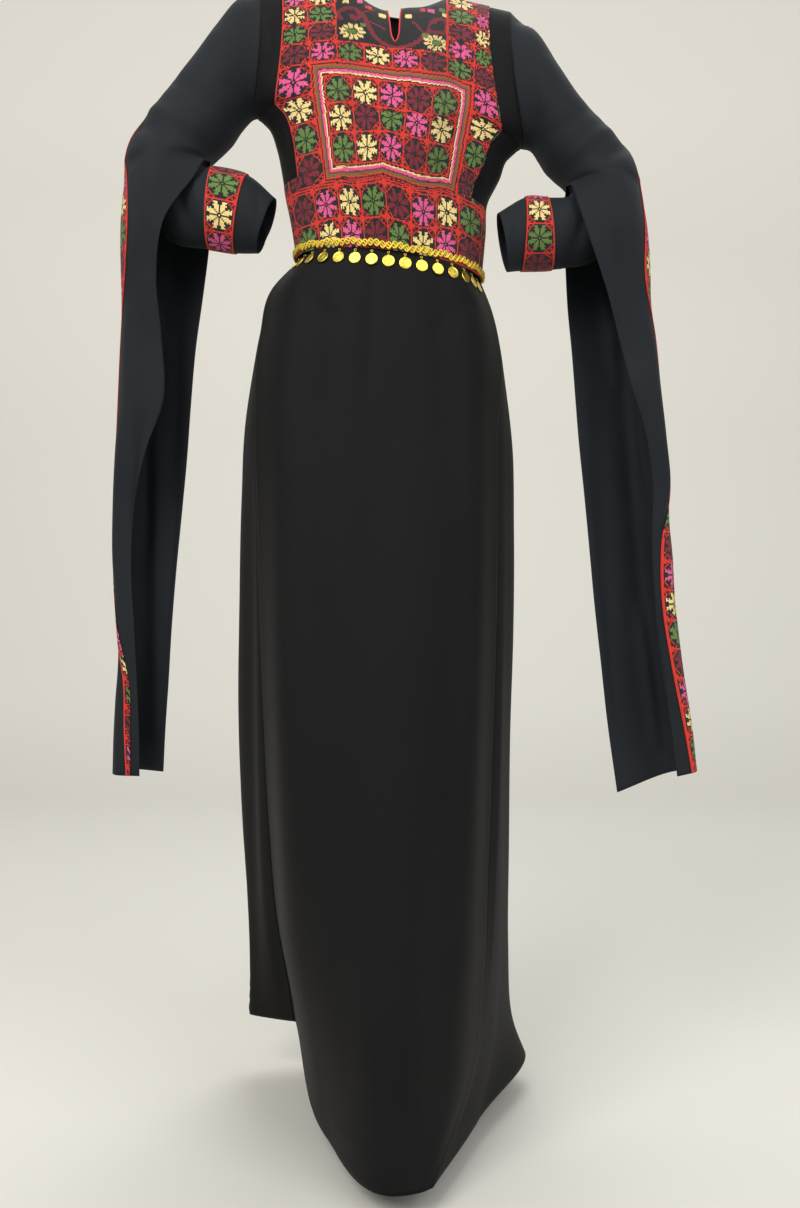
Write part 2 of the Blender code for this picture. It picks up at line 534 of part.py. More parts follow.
def placed(line, fold, strip):
    """Points on a section for the sleeve's columns: free edge to strip, across it, and on to the inner edge."""
    lengths = np.concatenate([[0.0], np.cumsum(np.linalg.norm(np.diff(line, axis=0), axis=1))])
    fold_at = lengths[np.argmin(np.linalg.norm(line - fold, axis=1))]
    front, back = fold_at - strip[0], fold_at - strip[1]
    wanted = np.concatenate([np.linspace(0, front, SLEEVE_FRONT_COLUMNS + 1)[:-1],
                             np.linspace(front, back, SLEEVE_STRIP_COLUMNS + 1),
                             np.linspace(back, lengths[-1], SLEEVE_FRONT_COLUMNS + 1)[1:]])
    return np.stack([np.interp(wanted, lengths, line[:, k]) for k in range(3)], axis=-1)


def sleeve_grid(shoulder, armpit, tube, wing, strip):
    levels, borders = [-row[0] for row in strip], [row[1:] for row in strip]
    rows = [armhole(shoulder, armpit, 0.5 - SLEEVE_TURNS)]
    for outer, inner, front_y, back_y in tube:
        line = tube_ring(outer, inner, front_y, back_y, FINE)
        fold = np.array([outer[0], (front_y + back_y) / 2, outer[1]])
        rows.append(placed(line, fold, through(levels, borders, -outer[1])))
    for row in wing:
        line, fold = wing_line(*row)
        rows.append(placed(line, fold, through(levels, borders, -fold[2])))
    return np.array(rows)


def forearm_grid(sleeve, rings):
    """Two rings just inside the sleeve, where the forearm sleeve is sewn in, then its own rings to the cuff."""
    columns = np.linspace(0, len(SLEEVE_TURNS) - 1, FOREARM_COLUMNS)
    normals = normals_of(sleeve, sleeve.mean(axis=1, keepdims=True), wraps=True)
    rows = []
    for index, clear in ((FOREARM_SEWN_AT - 1, SEAM_GAP), (FOREARM_SEWN_AT, SEAM_GAP + CLOTH_WALL)):
        ring = sleeve[index] - normals[index] * (CLOTH_WALL + clear)
        rows.append(np.stack([np.interp(columns, np.arange(len(ring)), ring[:, k]) for k in range(3)], axis=-1))
    turns = np.linspace(0, 1, FOREARM_COLUMNS)
    rows += [tube_ring(outer, inner, middle - half, middle + half, turns) for outer, inner, middle, half in rings]
    return np.array(rows)


def braid_grid(front, front_out, back, back_out):
    """The braid's points and normals: two rows round the waist, from the bodice's points moved out."""
    rows = np.s_[:2]
    rings, around = [], []
    for grid, out in ((front, front_out), (back[:, ::-1], back_out)):
        normals = normals_of(grid, body_axis(grid))[rows]
        lift = out * np.ones((2, grid.shape[1], 1))
        lift[:, [0, -1]] = front_out
        rings.append(grid[rows] + normals * lift)
        around.append(normals)
    for edge, other in ((0, -1), (-1, 0)):
        half = around[0][:, edge] + around[1][:, other]
        half /= np.linalg.norm(half, axis=-1, keepdims=True)
        around[0][:, edge] = half
        rings[0][:, edge] = front[rows, edge] + half * front_out
    points = np.concatenate([rings[0], rings[1][:, 1:]], axis=1)
    normals = np.concatenate([around[0], around[1][:, 1:]], axis=1)
    points[:, -1], normals[:, -1] = points[:, 0], normals[:, 0]
    return points, normals


def coin_mesh(name):
    """A coin in its own frame: its bar's middle at the origin, the coin below, extruded to its thickness."""
    neck_angle = math.asin(NECK_HALF_WIDTH / COIN_RADIUS)
    centre = -(NECK_LENGTH + COIN_RADIUS)
    turn = np.linspace(neck_angle, 2 * math.pi - neck_angle, COIN_ARC_POINTS)
    disc = np.stack([COIN_RADIUS * np.sin(turn), centre + COIN_RADIUS * np.cos(turn)], axis=-1)
    bar = [(-NECK_HALF_WIDTH, -BAR_HALF_HEIGHT), (-BAR_HALF_LENGTH, -BAR_HALF_HEIGHT),
           (-BAR_HALF_LENGTH, BAR_HALF_HEIGHT), (BAR_HALF_LENGTH, BAR_HALF_HEIGHT),
           (BAR_HALF_LENGTH, -BAR_HALF_HEIGHT), (NECK_HALF_WIDTH, -BAR_HALF_HEIGHT)]
    outline = [tuple(point) for point in disc] + bar
    shape = bmesh.new()
    corners = [shape.verts.new((x, -COIN_THICKNESS / 2, z)) for x, z in outline]
    face = shape.faces.new(corners)
    lifted = bmesh.ops.extrude_face_region(shape, geom=[face])
    bmesh.ops.translate(shape, vec=(0.0, COIN_THICKNESS, 0.0),
                        verts=[item for item in lifted["geom"] if isinstance(item, bmesh.types.BMVert)])
    bmesh.ops.recalc_face_normals(shape, faces=shape.faces)
    mesh = bpy.data.meshes.new(name)
    shape.to_mesh(mesh)
    shape.free()
    return mesh


def coin_places(skirt_front):
    """Where each coin hangs: its axis on the waist seam, level, and its plane along the skirt's slope."""
    top, below = skirt_front[0], skirt_front[1]
    lengths = np.concatenate([[0.0], np.cumsum(np.linalg.norm(np.diff(top, axis=0), axis=1))])
    places = []
    for order in range(COIN_COUNT):
        at = lengths[-1] / 2 + (order - (COIN_COUNT - 1) / 2) * COIN_SPACING
        high = Vector([np.interp(at, lengths, top[:, k]) for k in range(3)])
        low = Vector([np.interp(at, lengths, below[:, k]) for k in range(3)])
        ahead = Vector([np.interp(at + COIN_SPACING / 2, lengths, top[:, k]) for k in range(3)])
        behind = Vector([np.interp(at - COIN_SPACING / 2, lengths, top[:, k]) for k in range(3)])
        along_seam = ahead - behind
        along_seam.z = 0.0
        along_seam.normalize()
        slope = high - low
        slope = (slope - along_seam * slope.dot(along_seam)).normalized()
        inward = slope.cross(along_seam)
        outwards = COIN_OFF_SKIRT + COIN_THICKNESS / 2
        down = (COIN_UNDER_SEAM - inward.z * outwards) / slope.z
        spot = high - slope * down - inward * outwards
        turn = Matrix((along_seam, inward, slope)).transposed().to_4x4()
        places.append(Matrix.Translation(spot) @ turn)
    return places


def main():
    clear_scene()
    group = new_collection("embroidered_dress")
    black = new_material("black_cloth", BLACK_CLOTH, 0.85)
    red = new_material("embroidery", EMBROIDERY_RED, 0.8)
    gold = new_material("gold_metal", GOLD, 0.3, 1.0)
    gold_thread = new_material("gold_thread", GOLD_THREAD, 0.6)

    # Bodice
    front = bodice_grid(True)
    back = bodice_grid(False)
    front_normals = normals_of(front, body_axis(front))
    across_seam = np.array([1.0, -1.0, 1.0])
    for name, grid in (("bodice_front", front), ("bodice_back", back)):
        normals = normals_of(grid, body_axis(grid))
        for edge in (np.s_[:, 0], np.s_[:, -1]):
            normals = mitred(normals, edge, normals[edge] * across_seam)
        shoulders = np.abs(grid[-1, :, 1]) < 1e-6
        edge = (-1, np.nonzero(shoulders)[0])
        normals = mitred(normals, edge, normals[edge] * across_seam)
        drawn_in = inset(grid, 0, SEAM_INSET, SEAM_INSET, SEAM_INSET)
        add_panel(name, drawn_in, normals, body_axis(grid), CLOTH_WALL, black, group)

    # Skirt
    skirt = {part: skirt_grid(part, columns, SKIRT_ROW_COUNT) for part, columns in SKIRT_COLUMN_COUNT.items()}
    normals = {part: normals_of(grid, body_axis(grid)) for part, grid in skirt.items()}
    for part, other in (("front", "back"), ("back", "front")):
        turned = normals[part]
        for edge in (np.s_[:, 0], np.s_[:, -1]):
            turned = mitred(turned, edge, normals[other][edge])
        grid = skirt[part]
        grid[0, :, 2] -= SEAM_GAP
        drawn_in = inset(grid, 0, 0, SEAM_INSET, SEAM_INSET)
        add_panel("skirt_" + part, drawn_in, turned, body_axis(grid), CLOTH_WALL, black, group)

    # Chest panel and waist band, from the bodice's points
    raised_front = inset(front, 0, SEAM_INSET, SEAM_INSET, SEAM_INSET)
    columns = bodice_columns(True)
    band_row = int(np.argmin(np.abs(BODICE_ROWS - BAND_TOP_SHARE)))
    first = int(np.argmin(np.abs(columns - PANEL_SIDE_SHARE)))
    last = int(np.argmin(np.abs(columns - (1 - PANEL_SIDE_SHARE))))
    out = SEAM_GAP + TRIM_WALL
    raised = raised_front + front_normals * out
    place = np.s_[band_row:, first:last + 1]
    panel = inset(raised[place], SEAM_INSET, 0, 0, 0)
    add_panel("chest_panel", panel, front_normals[place], body_axis(panel), TRIM_WALL, red, group)
    place = np.s_[:band_row + 1]
    band = inset(raised[place], 0, SEAM_INSET, 2 * SEAM_INSET, 2 * SEAM_INSET)
    add_panel("waist_band", band, front_normals[place], body_axis(band), TRIM_WALL, red, group)

    # Sleeves with their wings and strips, forearm sleeves with their cuff bands
    for name, side, shoulder, armpit, tube, wing, strip, forearm in (
            ("left", -1, SHOULDER_LEFT, ARMPIT_LEFT, SLEEVE_TUBE_LEFT, WING_LEFT, STRIP_LEFT, FOREARM_LEFT),
            ("right", 1, SHOULDER_RIGHT, ARMPIT_RIGHT, SLEEVE_TUBE_RIGHT, WING_RIGHT, STRIP_RIGHT, FOREARM_RIGHT)):
        sleeve = sleeve_grid(shoulder, armpit, tube, wing, strip)
        inside = ring_middles(sleeve)
        grid = inset(sleeve, SLEEVE_INSET, 0, 0, 0)
        add_sheet("sleeve_" + name, grid, inside, CLOTH_WALL, black, group, wrapped_rows=1 + len(tube))
        normals = normals_of(sleeve, inside)
        first, last = SLEEVE_FRONT_COLUMNS, SLEEVE_FRONT_COLUMNS + SLEEVE_STRIP_COLUMNS
        top = int(np.argmax(sleeve[:, (first + last) // 2, 2] < STRIP_TOP[name]))
        place = np.s_[top:, first:last + 1]
        strip_points = sleeve[place] + normals[place] * out
        add_panel("wing_strip_" + name, strip_points, normals[place], inside[place], TRIM_WALL, red, group)
        grid = forearm_grid(sleeve, forearm)
        inside = ring_middles(grid)
        add_sheet("forearm_" + name, grid, inside, CLOTH_WALL, black, group, wrapped_rows=len(grid))
        normals = normals_of(grid, inside, wraps=True)
        place = np.s_[CUFF_BAND_RINGS[0]:CUFF_BAND_RINGS[1] + 1]
        band = (grid + normals * out)[place]
        add_panel("cuff_band_" + name, band, normals[place], inside[place], TRIM_WALL, red, group,
                  wrapped_rows=len(band))

    # Braid and coins
    grid, normals = braid_grid(front, 2 * SEAM_GAP + TRIM_WALL + BRAID_WALL, back, 2 * SEAM_GAP + BRAID_WALL)
    grid = inset(grid, BRAID_LIFT, 0, 0, 0)
    add_panel("belt_braid", grid, normals, body_axis(grid), BRAID_WALL, gold_thread, group, wrapped_rows=len(grid))
    coin = coin_mesh("coin")
    coin.materials.append(gold)
    for order, place in enumerate(coin_places(skirt["front"]), start=1):
        thing = bpy.data.objects.new(f"coin_{order:02d}", coin)
        thing.matrix_world = place
        group.objects.link(thing)


main()
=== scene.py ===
"""Looks of a long black dress: crepe cloth, cross-stitched panels, wing sleeves, gold braid, swinging coins.

Metres, +Z up, the dress faces -Y. Each cloth piece is a surface of two parameters, worked out with numpy from
the same named sizes as its solid, with its creases laid on from the tables below and a thin wall.
"""

import math

import bpy
import numpy as np
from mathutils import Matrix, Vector


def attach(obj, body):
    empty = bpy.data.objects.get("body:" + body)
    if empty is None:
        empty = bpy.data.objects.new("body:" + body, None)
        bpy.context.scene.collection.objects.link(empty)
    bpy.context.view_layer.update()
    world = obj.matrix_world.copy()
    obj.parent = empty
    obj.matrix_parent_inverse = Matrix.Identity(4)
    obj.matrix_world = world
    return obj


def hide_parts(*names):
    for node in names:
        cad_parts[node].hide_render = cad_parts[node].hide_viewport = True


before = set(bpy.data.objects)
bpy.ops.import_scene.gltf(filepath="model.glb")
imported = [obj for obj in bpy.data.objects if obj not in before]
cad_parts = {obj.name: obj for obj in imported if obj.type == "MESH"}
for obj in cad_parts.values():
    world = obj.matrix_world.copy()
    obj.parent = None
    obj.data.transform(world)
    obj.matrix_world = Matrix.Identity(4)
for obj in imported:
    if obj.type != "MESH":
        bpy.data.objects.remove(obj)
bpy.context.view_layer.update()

# The picture: camera place, lens for the long side of the frame
CAMERA_AT = (0.0138, -1.6, -0.822)
LENS_MM = 34.57
SENSOR_MM = 36.0
FLOOR_Z = -1.53

# Cloth and seams
CLOTH_WALL = 0.0015
CLOTH_SHOWN_WALL = 0.0009
PANEL_SHOWN_WALL = 0.001
STRIP_SHOWN_WALL = 0.0009
TRIM_WALL = 0.0012
SEAM_GAP = 0.0003

# Bodice: waist seam, shoulder points, neck points and armpits as (x, y, z)
WAIST_LEFT = (-0.128, 0.0, -0.35)
WAIST_RIGHT = (0.1255, 0.0, -0.379)
WAIST_FRONT_Y = -0.1
WAIST_BACK_Y = 0.092
SHOULDER_LEFT = (-0.178, 0.0, 0.022)
SHOULDER_RIGHT = (0.165, 0.0, -0.01)
NECK_LEFT = (-0.07, 0.0, 0.043)
NECK_RIGHT = (0.083, 0.0, 0.012)
ARMPIT_LEFT = (-0.185, 0.0, -0.15)
ARMPIT_RIGHT = (0.182, 0.0, -0.192)
ARMHOLE_DEPTH = 0.056
ARMHOLE_CURVE_IN = 0.01
FRONT_NECK = ((-0.036, -0.062, -0.023), (0.001, -0.073, -0.045), (0.0065, -0.073, -0.045),
              (0.015, -0.073, -0.042), (0.047, -0.066, -0.035))
BACK_NECK = ((-0.045, 0.036, 0.023), (0.0065, 0.05, 0.011), (0.056, 0.036, 0.005))
BUST_FULLNESS = 0.036
BACK_FULLNESS = 0.03
SLIT_WIDTH = 0.018
SLIT_DEPTH_SHARE = 0.2

# Side seams from the waist up to the armpit: x, z
SIDE_SEAM_LEFT = ((-0.136, -0.3), (-0.1434, -0.265), (-0.1476, -0.237), (-0.156, -0.196),
                  (-0.167, -0.168))
SIDE_SEAM_RIGHT = ((0.131, -0.32), (0.1366, -0.265), (0.1448, -0.25), (0.1517, -0.237), (0.163, -0.21))

# Where the parts of the bodice lie, from the waist seam (0) to the shoulder (1)
BAND_TOP_SHARE = 0.235
ARMPIT_SHARE = 0.5
PANEL_SIDE_SHARE = 0.085
BRAID_TOP_SHARE = 0.035

# Skirt sections from the waist to the hem: level z, then x and y of the left seam, front, right seam,
# right side, back and left side, and how full the front is
SKIRT_COLUMNS = ("level", "seam_left", "front", "seam_right", "side_right", "back", "side_left", "fullness")
SKIRT_ROWS = (
    (-0.3645, (-0.128, 0.0), (0.0, -0.1), (0.1255, 0.0),
     (0.1235, 0.025), (0.0, 0.092), (-0.126, 0.025), 0.72),
    (-0.4, (-0.16, -0.004), (0.0, -0.107), (0.139, -0.004),
     (0.138, 0.03), (-0.002, 0.112), (-0.159, 0.03), 0.72),
    (-0.47, (-0.178, -0.012), (-0.005, -0.119), (0.1525, -0.012),
     (0.1555, 0.03), (-0.006, 0.13), (-0.181, 0.03), 0.72),
    (-0.58, (-0.1825, -0.04), (-0.012, -0.131), (0.1456, -0.04),
     (0.1697, 0.015), (-0.015, 0.14), (-0.2003, 0.015), 0.72),
    (-0.7, (-0.178, -0.05), (-0.015, -0.148), (0.1447, -0.05),
     (0.173, 0.02), (-0.017, 0.142), (-0.2077, 0.02), 0.71),
    (-0.85, (-0.1743, -0.05), (-0.015, -0.17), (0.1422, -0.05),
     (0.1729, 0.03), (-0.018, 0.15), (-0.2121, 0.03), 0.7),
    (-1.0, (-0.17, -0.04), (-0.012, -0.193), (0.1367, -0.06),
     (0.1688, 0.05), (-0.018, 0.16), (-0.2162, 0.05), 0.69),
    (-1.15, (-0.166, -0.01), (-0.008, -0.216), (0.1296, -0.08),
     (0.1668, 0.07), (-0.018, 0.171), (-0.2144, 0.07), 0.67),
    (-1.3, (-0.1594, 0.04), (0.0, -0.24), (0.1214, -0.1),
     (0.1647, 0.1), (-0.016, 0.182), (-0.2104, 0.1), 0.65),
    (-1.42, (-0.1455, 0.09), (0.01, -0.259), (0.099, -0.14),
     (0.17, 0.13), (-0.015, 0.19), (-0.211, 0.13), 0.63),
    (-1.48, (-0.142, 0.13), (0.017, -0.272), (0.052, -0.255),
     (0.1804, 0.157), (-0.012, 0.195), (-0.215, 0.155), 0.62),
)
HEM_HEIGHT = {"seam_left": -1.445, "front": -1.5, "seam_right": -1.499, "side_right": -1.49,
              "back": -1.48, "side_left": -1.44}
SEAM_TO_SIDE_SHARE = 0.4
SEAM_TO_SIDE_BULGE = 0.03
ROUND_CORNER = 0.715

# Sleeve tubes from the armhole to the elbow: x and z of the outer line and of the underside, front and back y
SLEEVE_TUBE_LEFT = (
    ((-0.2041, 0.008), (-0.193, -0.154), -0.06, 0.058),
    ((-0.2372, -0.0303), (-0.206, -0.169), -0.062, 0.058),
    ((-0.2676, -0.0717), (-0.217, -0.186), -0.063, 0.058),
    ((-0.3, -0.113), (-0.2262, -0.1958), -0.064, 0.058),
    ((-0.3296, -0.1544), (-0.2341, -0.203), -0.067, 0.058),
    ((-0.352, -0.19), (-0.2414, -0.2096), -0.072, 0.058),
    ((-0.36, -0.218), (-0.2465, -0.216), -0.078, 0.058),
)
SLEEVE_TUBE_RIGHT = (
    ((0.196, -0.035), (0.1959, -0.1958), -0.06, 0.058),
    ((0.23, -0.0855), (0.2055, -0.2096), -0.062, 0.058),
    ((0.2579, -0.1268), (0.2138, -0.2234), -0.063, 0.058),
    ((0.2828, -0.1544), (0.221, -0.231), -0.064, 0.058),
    ((0.3048, -0.182), (0.2276, -0.2372), -0.067, 0.058),
    ((0.3283, -0.2096), (0.2345, -0.243), -0.072, 0.058),
    ((0.3385, -0.24), (0.241, -0.25), -0.078, 0.058),
)

# Wings from the elbow to the tip: free front edge x, y, z, outer fold x, z, inner back edge x, y, z, front
# and back y of the two layers, and how round the section is
WING_LEFT = (
    ((-0.249, -0.048, -0.228), (-0.3612, -0.236), (-0.2505, 0.032, -0.232), -0.082, 0.058, 0.47),
    ((-0.258, -0.074, -0.26), (-0.3614, -0.26), (-0.253, 0.046, -0.262), -0.086, 0.058, 0.44),
    ((-0.296, -0.082, -0.319), (-0.363, -0.315), (-0.256, 0.04, -0.32), -0.08, 0.055, 0.38),
    ((-0.309, -0.066, -0.39), (-0.3628, -0.385), (-0.264, 0.036, -0.39), -0.062, 0.05, 0.3),
    ((-0.305, -0.05, -0.465), (-0.368, -0.46), (-0.2735, 0.032, -0.465), -0.046, 0.045, 0.26),
    ((-0.303, -0.044, -0.545), (-0.3735, -0.54), (-0.28, 0.03, -0.545), -0.038, 0.042, 0.24),
    ((-0.329, -0.038, -0.615), (-0.3775, -0.615), (-0.285, 0.03, -0.615), -0.034, 0.04, 0.24),
    ((-0.346, -0.03, -0.695), (-0.3803, -0.695), (-0.2925, 0.03, -0.695), -0.028, 0.038, 0.24),
    ((-0.351, -0.027, -0.775), (-0.38, -0.775), (-0.3, 0.028, -0.775), -0.024, 0.036, 0.24),
    ((-0.347, -0.027, -0.855), (-0.3745, -0.855), (-0.306, 0.026, -0.855), -0.022, 0.034, 0.24),
    ((-0.343, -0.028, -0.93), (-0.3755, -0.93), (-0.31, 0.024, -0.93), -0.024, 0.034, 0.24),
    ((-0.34, -0.03, -0.995), (-0.38, -0.995), (-0.314, 0.022, -0.995), -0.026, 0.034, 0.24),
    ((-0.339, -0.03, -1.055), (-0.3821, -1.054), (-0.3165, 0.02, -1.056), -0.026, 0.034, 0.24),
)
WING_RIGHT = (
    ((0.2425, -0.048, -0.261), (0.3415, -0.256), (0.244, 0.032, -0.264), -0.082, 0.058, 0.47),
    ((0.248, -0.074, -0.296), (0.3445, -0.28), (0.246, 0.046, -0.295), -0.086, 0.058, 0.44),
    ((0.264, -0.082, -0.348), (0.35, -0.318), (0.2475, 0.04, -0.345), -0.08, 0.055, 0.38),
    ((0.288, -0.066, -0.408), (0.354, -0.385), (0.25, 0.036, -0.405), -0.062, 0.05, 0.3),
    ((0.308, -0.05, -0.47), (0.362, -0.455), (0.2555, 0.032, -0.47), -0.046, 0.045, 0.26),
    ((0.326, -0.044, -0.535), (0.371, -0.528), (0.2602, 0.03, -0.535), -0.038, 0.042, 0.24),
    ((0.345, -0.038, -0.595), (0.3775, -0.595), (0.265, 0.03, -0.595), -0.034, 0.04, 0.24),
    ((0.356, -0.03, -0.665), (0.383, -0.665), (0.2722, 0.03, -0.665), -0.028, 0.038, 0.24),
    ((0.354, -0.027, -0.74), (0.385, -0.74), (0.279, 0.028, -0.74), -0.024, 0.036, 0.24),
    ((0.359, -0.027, -0.82), (0.391, -0.82), (0.286, 0.026, -0.82), -0.022, 0.034, 0.24),
    ((0.369, -0.027, -0.905), (0.401, -0.905), (0.295, 0.024, -0.905), -0.022, 0.034, 0.24),
    ((0.382, -0.027, -0.99), (0.414, -0.99), (0.304, 0.022, -0.99), -0.022, 0.034, 0.24),
    ((0.39, -0.027, -1.056), (0.4205, -1.05), (0.317, 0.02, -1.085), -0.022, 0.034, 0.24),
)

# Embroidered strips down the wings: level z, then how far both borders lie before the outer fold
STRIP_LEFT = ((0.02, 0.006, -0.034), (-0.15, 0.01, -0.03), (-0.188, 0.024, -0.016),
              (-0.218, 0.018, -0.022), (-0.25, 0.034, -0.006), (-0.285, 0.06, 0.02), (-0.32, 0.068, 0.028),
              (-0.35, 0.066, 0.026), (-0.395, 0.05, 0.01), (-0.46, 0.014, -0.026), (-0.55, 0.006, -0.034),
              (-0.78, 0.008, -0.028), (-0.855, 0.026, 0.006), (-0.93, 0.046, 0.038), (-0.995, 0.052, 0.044),
              (-1.055, 0.054, 0.048))
STRIP_RIGHT = ((-0.01, 0.006, -0.036), (-0.23, 0.01, -0.032), (-0.3, 0.03, -0.012),
               (-0.345, 0.055, 0.013), (-0.39, 0.053, 0.011), (-0.44, 0.022, -0.02), (-0.5, 0.01, -0.032),
               (-0.665, 0.012, -0.028), (-0.74, 0.042, 0.002), (-0.82, 0.045, 0.005), (-0.905, 0.042, 0.002),
               (-0.99, 0.038, -0.002), (-1.05, 0.034, -0.006))
STRIP_TOP = {"left": -0.14, "right": -0.2}

# Forearm sleeves: the sleeve ring that they are sewn in at, then rings from the elbow to the cuff with the
# x and z of the outer and the inner line, middle y and half depth
FOREARM_SEWN_AT = 5
FOREARM_LEFT = (
    ((-0.346, -0.224), (-0.255, -0.22), -0.0085, 0.052),
    ((-0.336, -0.28), (-0.25, -0.228), -0.013, 0.049),
    ((-0.298, -0.328), (-0.244, -0.2325), -0.02, 0.047),
    ((-0.246, -0.34), (-0.238, -0.233), -0.03, 0.047),
    ((-0.208, -0.35), (-0.189, -0.249), -0.044, 0.044),
    ((-0.177, -0.354), (-0.151, -0.2835), -0.055, 0.034),
)
FOREARM_RIGHT = (
    ((0.3245, -0.252), (0.25, -0.255), -0.0085, 0.052),
    ((0.315, -0.308), (0.245, -0.264), -0.013, 0.049),
    ((0.278, -0.354), (0.238, -0.271), -0.02, 0.047),
    ((0.22, -0.368), (0.211, -0.2745), -0.03, 0.046),
    ((0.177, -0.3735), (0.1806, -0.2787), -0.043, 0.044),
    ((0.1577, -0.379), (0.143, -0.303), -0.055, 0.034),
)
CUFF_BAND_RINGS = (5, 6)

# Coins under the braid
COIN_COUNT = 15
COIN_SPACING = 0.0215
COIN_RADIUS = 0.008
COIN_THICKNESS = 0.0012
NECK_LENGTH = 0.004
COIN_OFF_SKIRT = 0.0007
COIN_UNDER_SEAM = 0.0026

FINE = np.linspace(0, 1, 400)


def through(knots, values, at):
    """A smooth curve through values at knots: a cubic between neighbours, with slopes from the chords."""
    knots, values = np.asarray(knots, float), np.asarray(values, float)
    at = np.clip(np.asarray(at, float), knots[0], knots[-1])
    slopes = np.gradient(values, knots, axis=0)
    i = np.clip(np.searchsorted(knots, at, side="right") - 1, 0, len(knots) - 2)
    span = knots[i + 1] - knots[i]
    f = (at - knots[i]) / span
    shape = f.shape + (1,) * (values.ndim - 1)
    f, span = f.reshape(shape), span.reshape(shape)
    start = (2 * f**3 - 3 * f**2 + 1) * values[i] + (f**3 - 2 * f**2 + f) * span * slopes[i]
    end = (3 * f**2 - 2 * f**3) * values[i + 1] + (f**3 - f**2) * span * slopes[i + 1]
    return start + end


def along(points, shares):
    """Points of a smooth curve through the given points, at shares of its length from 0 to 1."""
    points = np.asarray(points, float)
    steps = np.linalg.norm(np.diff(points, axis=0), axis=1)
    knots = np.concatenate([[0.0], np.cumsum(steps)])
    fine = through(knots, points, np.linspace(0.0, knots[-1], 400))
    lengths = np.concatenate([[0.0], np.cumsum(np.linalg.norm(np.diff(fine, axis=0), axis=1))])
    wanted = np.asarray(shares, float) * lengths[-1]
    return np.stack([np.interp(wanted, lengths, fine[:, k]) for k in range(fine.shape[1])], axis=-1)


def normals_of(grid, inside, wraps=False):
    """Unit normals of a grid of points, turned away from the inside points of each row."""
    across = np.gradient(grid, axis=1)
    if wraps:
        ring = np.concatenate([grid[:, -2:-1], grid, grid[:, 1:2]], axis=1)
        across = (ring[:, 2:] - ring[:, :-2]) / 2
    down = np.gradient(grid, axis=0)
    normals = np.cross(across, down)
    normals /= np.linalg.norm(normals, axis=-1, keepdims=True)
    if np.sum(normals * (grid - inside)) < 0:
        normals = -normals
    return normals


def armhole(shoulder, armpit, turn):
    """The armhole loop: a turn of 0 is the shoulder, a quarter is the front, a half is the armpit."""
    shoulder, armpit = np.asarray(shoulder), np.asarray(armpit)
    angle = 2 * math.pi * np.asarray(turn)[..., None]
    middle, half = (shoulder + armpit) / 2, (shoulder - armpit) / 2
    depth = np.array([0.0, -ARMHOLE_DEPTH, 0.0])
    curve_in = np.array([-math.copysign(ARMHOLE_CURVE_IN, middle[0]), 0.0, 0.0])
    return middle + np.cos(angle) * half + np.sin(angle) * depth + np.sin(angle) ** 2 * curve_in


def bodice_edge(shoulder, armpit, waist, seam, share, front):
    """One edge of the bodice: up the side seam to the armpit, then round the armhole to the shoulder."""
    seam_points = [waist] + [(x, 0.0, z) for x, z in seam] + [armpit]
    below = along(seam_points, np.clip(share / ARMPIT_SHARE, 0, 1))
    rise = np.clip((share - ARMPIT_SHARE) / (1 - ARMPIT_SHARE), 0, 1)
    turn = 0.5 - 0.5 * rise if front else 0.5 + 0.5 * rise
    above = armhole(shoulder, armpit, turn)
    return np.where((share < ARMPIT_SHARE)[..., None], below, above)


def waist_point(share, front):
    """The waist seam from left to right as half an ellipse."""
    left, right = np.asarray(WAIST_LEFT), np.asarray(WAIST_RIGHT)
    share = np.asarray(share)[..., None]
    point = left + (right - left) * share
    depth = WAIST_FRONT_Y if front else WAIST_BACK_Y
    round_share = np.sqrt(np.clip(1 - (2 * share - 1) ** 2, 0, 1))
    return point + round_share * np.array([0.0, depth, 0.0])


def top_point(share, front):
    """The upper edge at shares of the width: left shoulder seam, neckline, right shoulder seam."""
    neck = FRONT_NECK if front else BACK_NECK
    points = np.array([NECK_LEFT, *neck, NECK_RIGHT])
    width = SHOULDER_RIGHT[0] - SHOULDER_LEFT[0]
    knots = (points[:, 0] - SHOULDER_LEFT[0]) / width
    neckline = through(knots, points, share)
    left_seam = np.asarray(SHOULDER_LEFT) + (points[0] - SHOULDER_LEFT) * (share / knots[0])[..., None]
    right_share = ((share - knots[-1]) / (1 - knots[-1]))[..., None]
    right_seam = points[-1] + (np.asarray(SHOULDER_RIGHT) - points[-1]) * right_share
    share = share[..., None]
    return np.where(share < knots[0], left_seam, np.where(share > knots[-1], right_seam, neckline))


def bodice_surface(across, up, front):
    """The bodice at shares across and up: ruled from waist to top, drawn to the side edges, filled out."""
    base = (1 - up)[..., None] * waist_point(across, front) + up[..., None] * top_point(across, front)
    zero, one = np.zeros_like(across), np.ones_like(across)
    left = bodice_edge(SHOULDER_LEFT, ARMPIT_LEFT, WAIST_LEFT, SIDE_SEAM_LEFT, up, front)
    right = bodice_edge(SHOULDER_RIGHT, ARMPIT_RIGHT, WAIST_RIGHT, SIDE_SEAM_RIGHT, up, front)
    low, high = (1 - up)[..., None], up[..., None]
    left_shift = left - (low * waist_point(zero, front) + high * top_point(zero, front))
    right_shift = right - (low * waist_point(one, front) + high * top_point(one, front))
    near_left = np.stack([1 - across, (1 - across) ** 4, 1 - across], axis=-1)
    near_right = np.stack([across, across**4, across], axis=-1)
    fullness = -BUST_FULLNESS if front else BACK_FULLNESS
    swell = np.sin(math.pi * up**0.85) ** 1.3 * np.sin(math.pi * across) ** 0.8
    outward = np.stack([zero, fullness * swell, zero], axis=-1)
    return base + near_left * left_shift + near_right * right_shift + outward


def body_axis(grid):
    """Points in the middle of the body at the height of each point of a grid."""
    middle = grid.copy()
    middle[..., 0] = 0.0
    middle[..., 1] = 0.0
    return middle


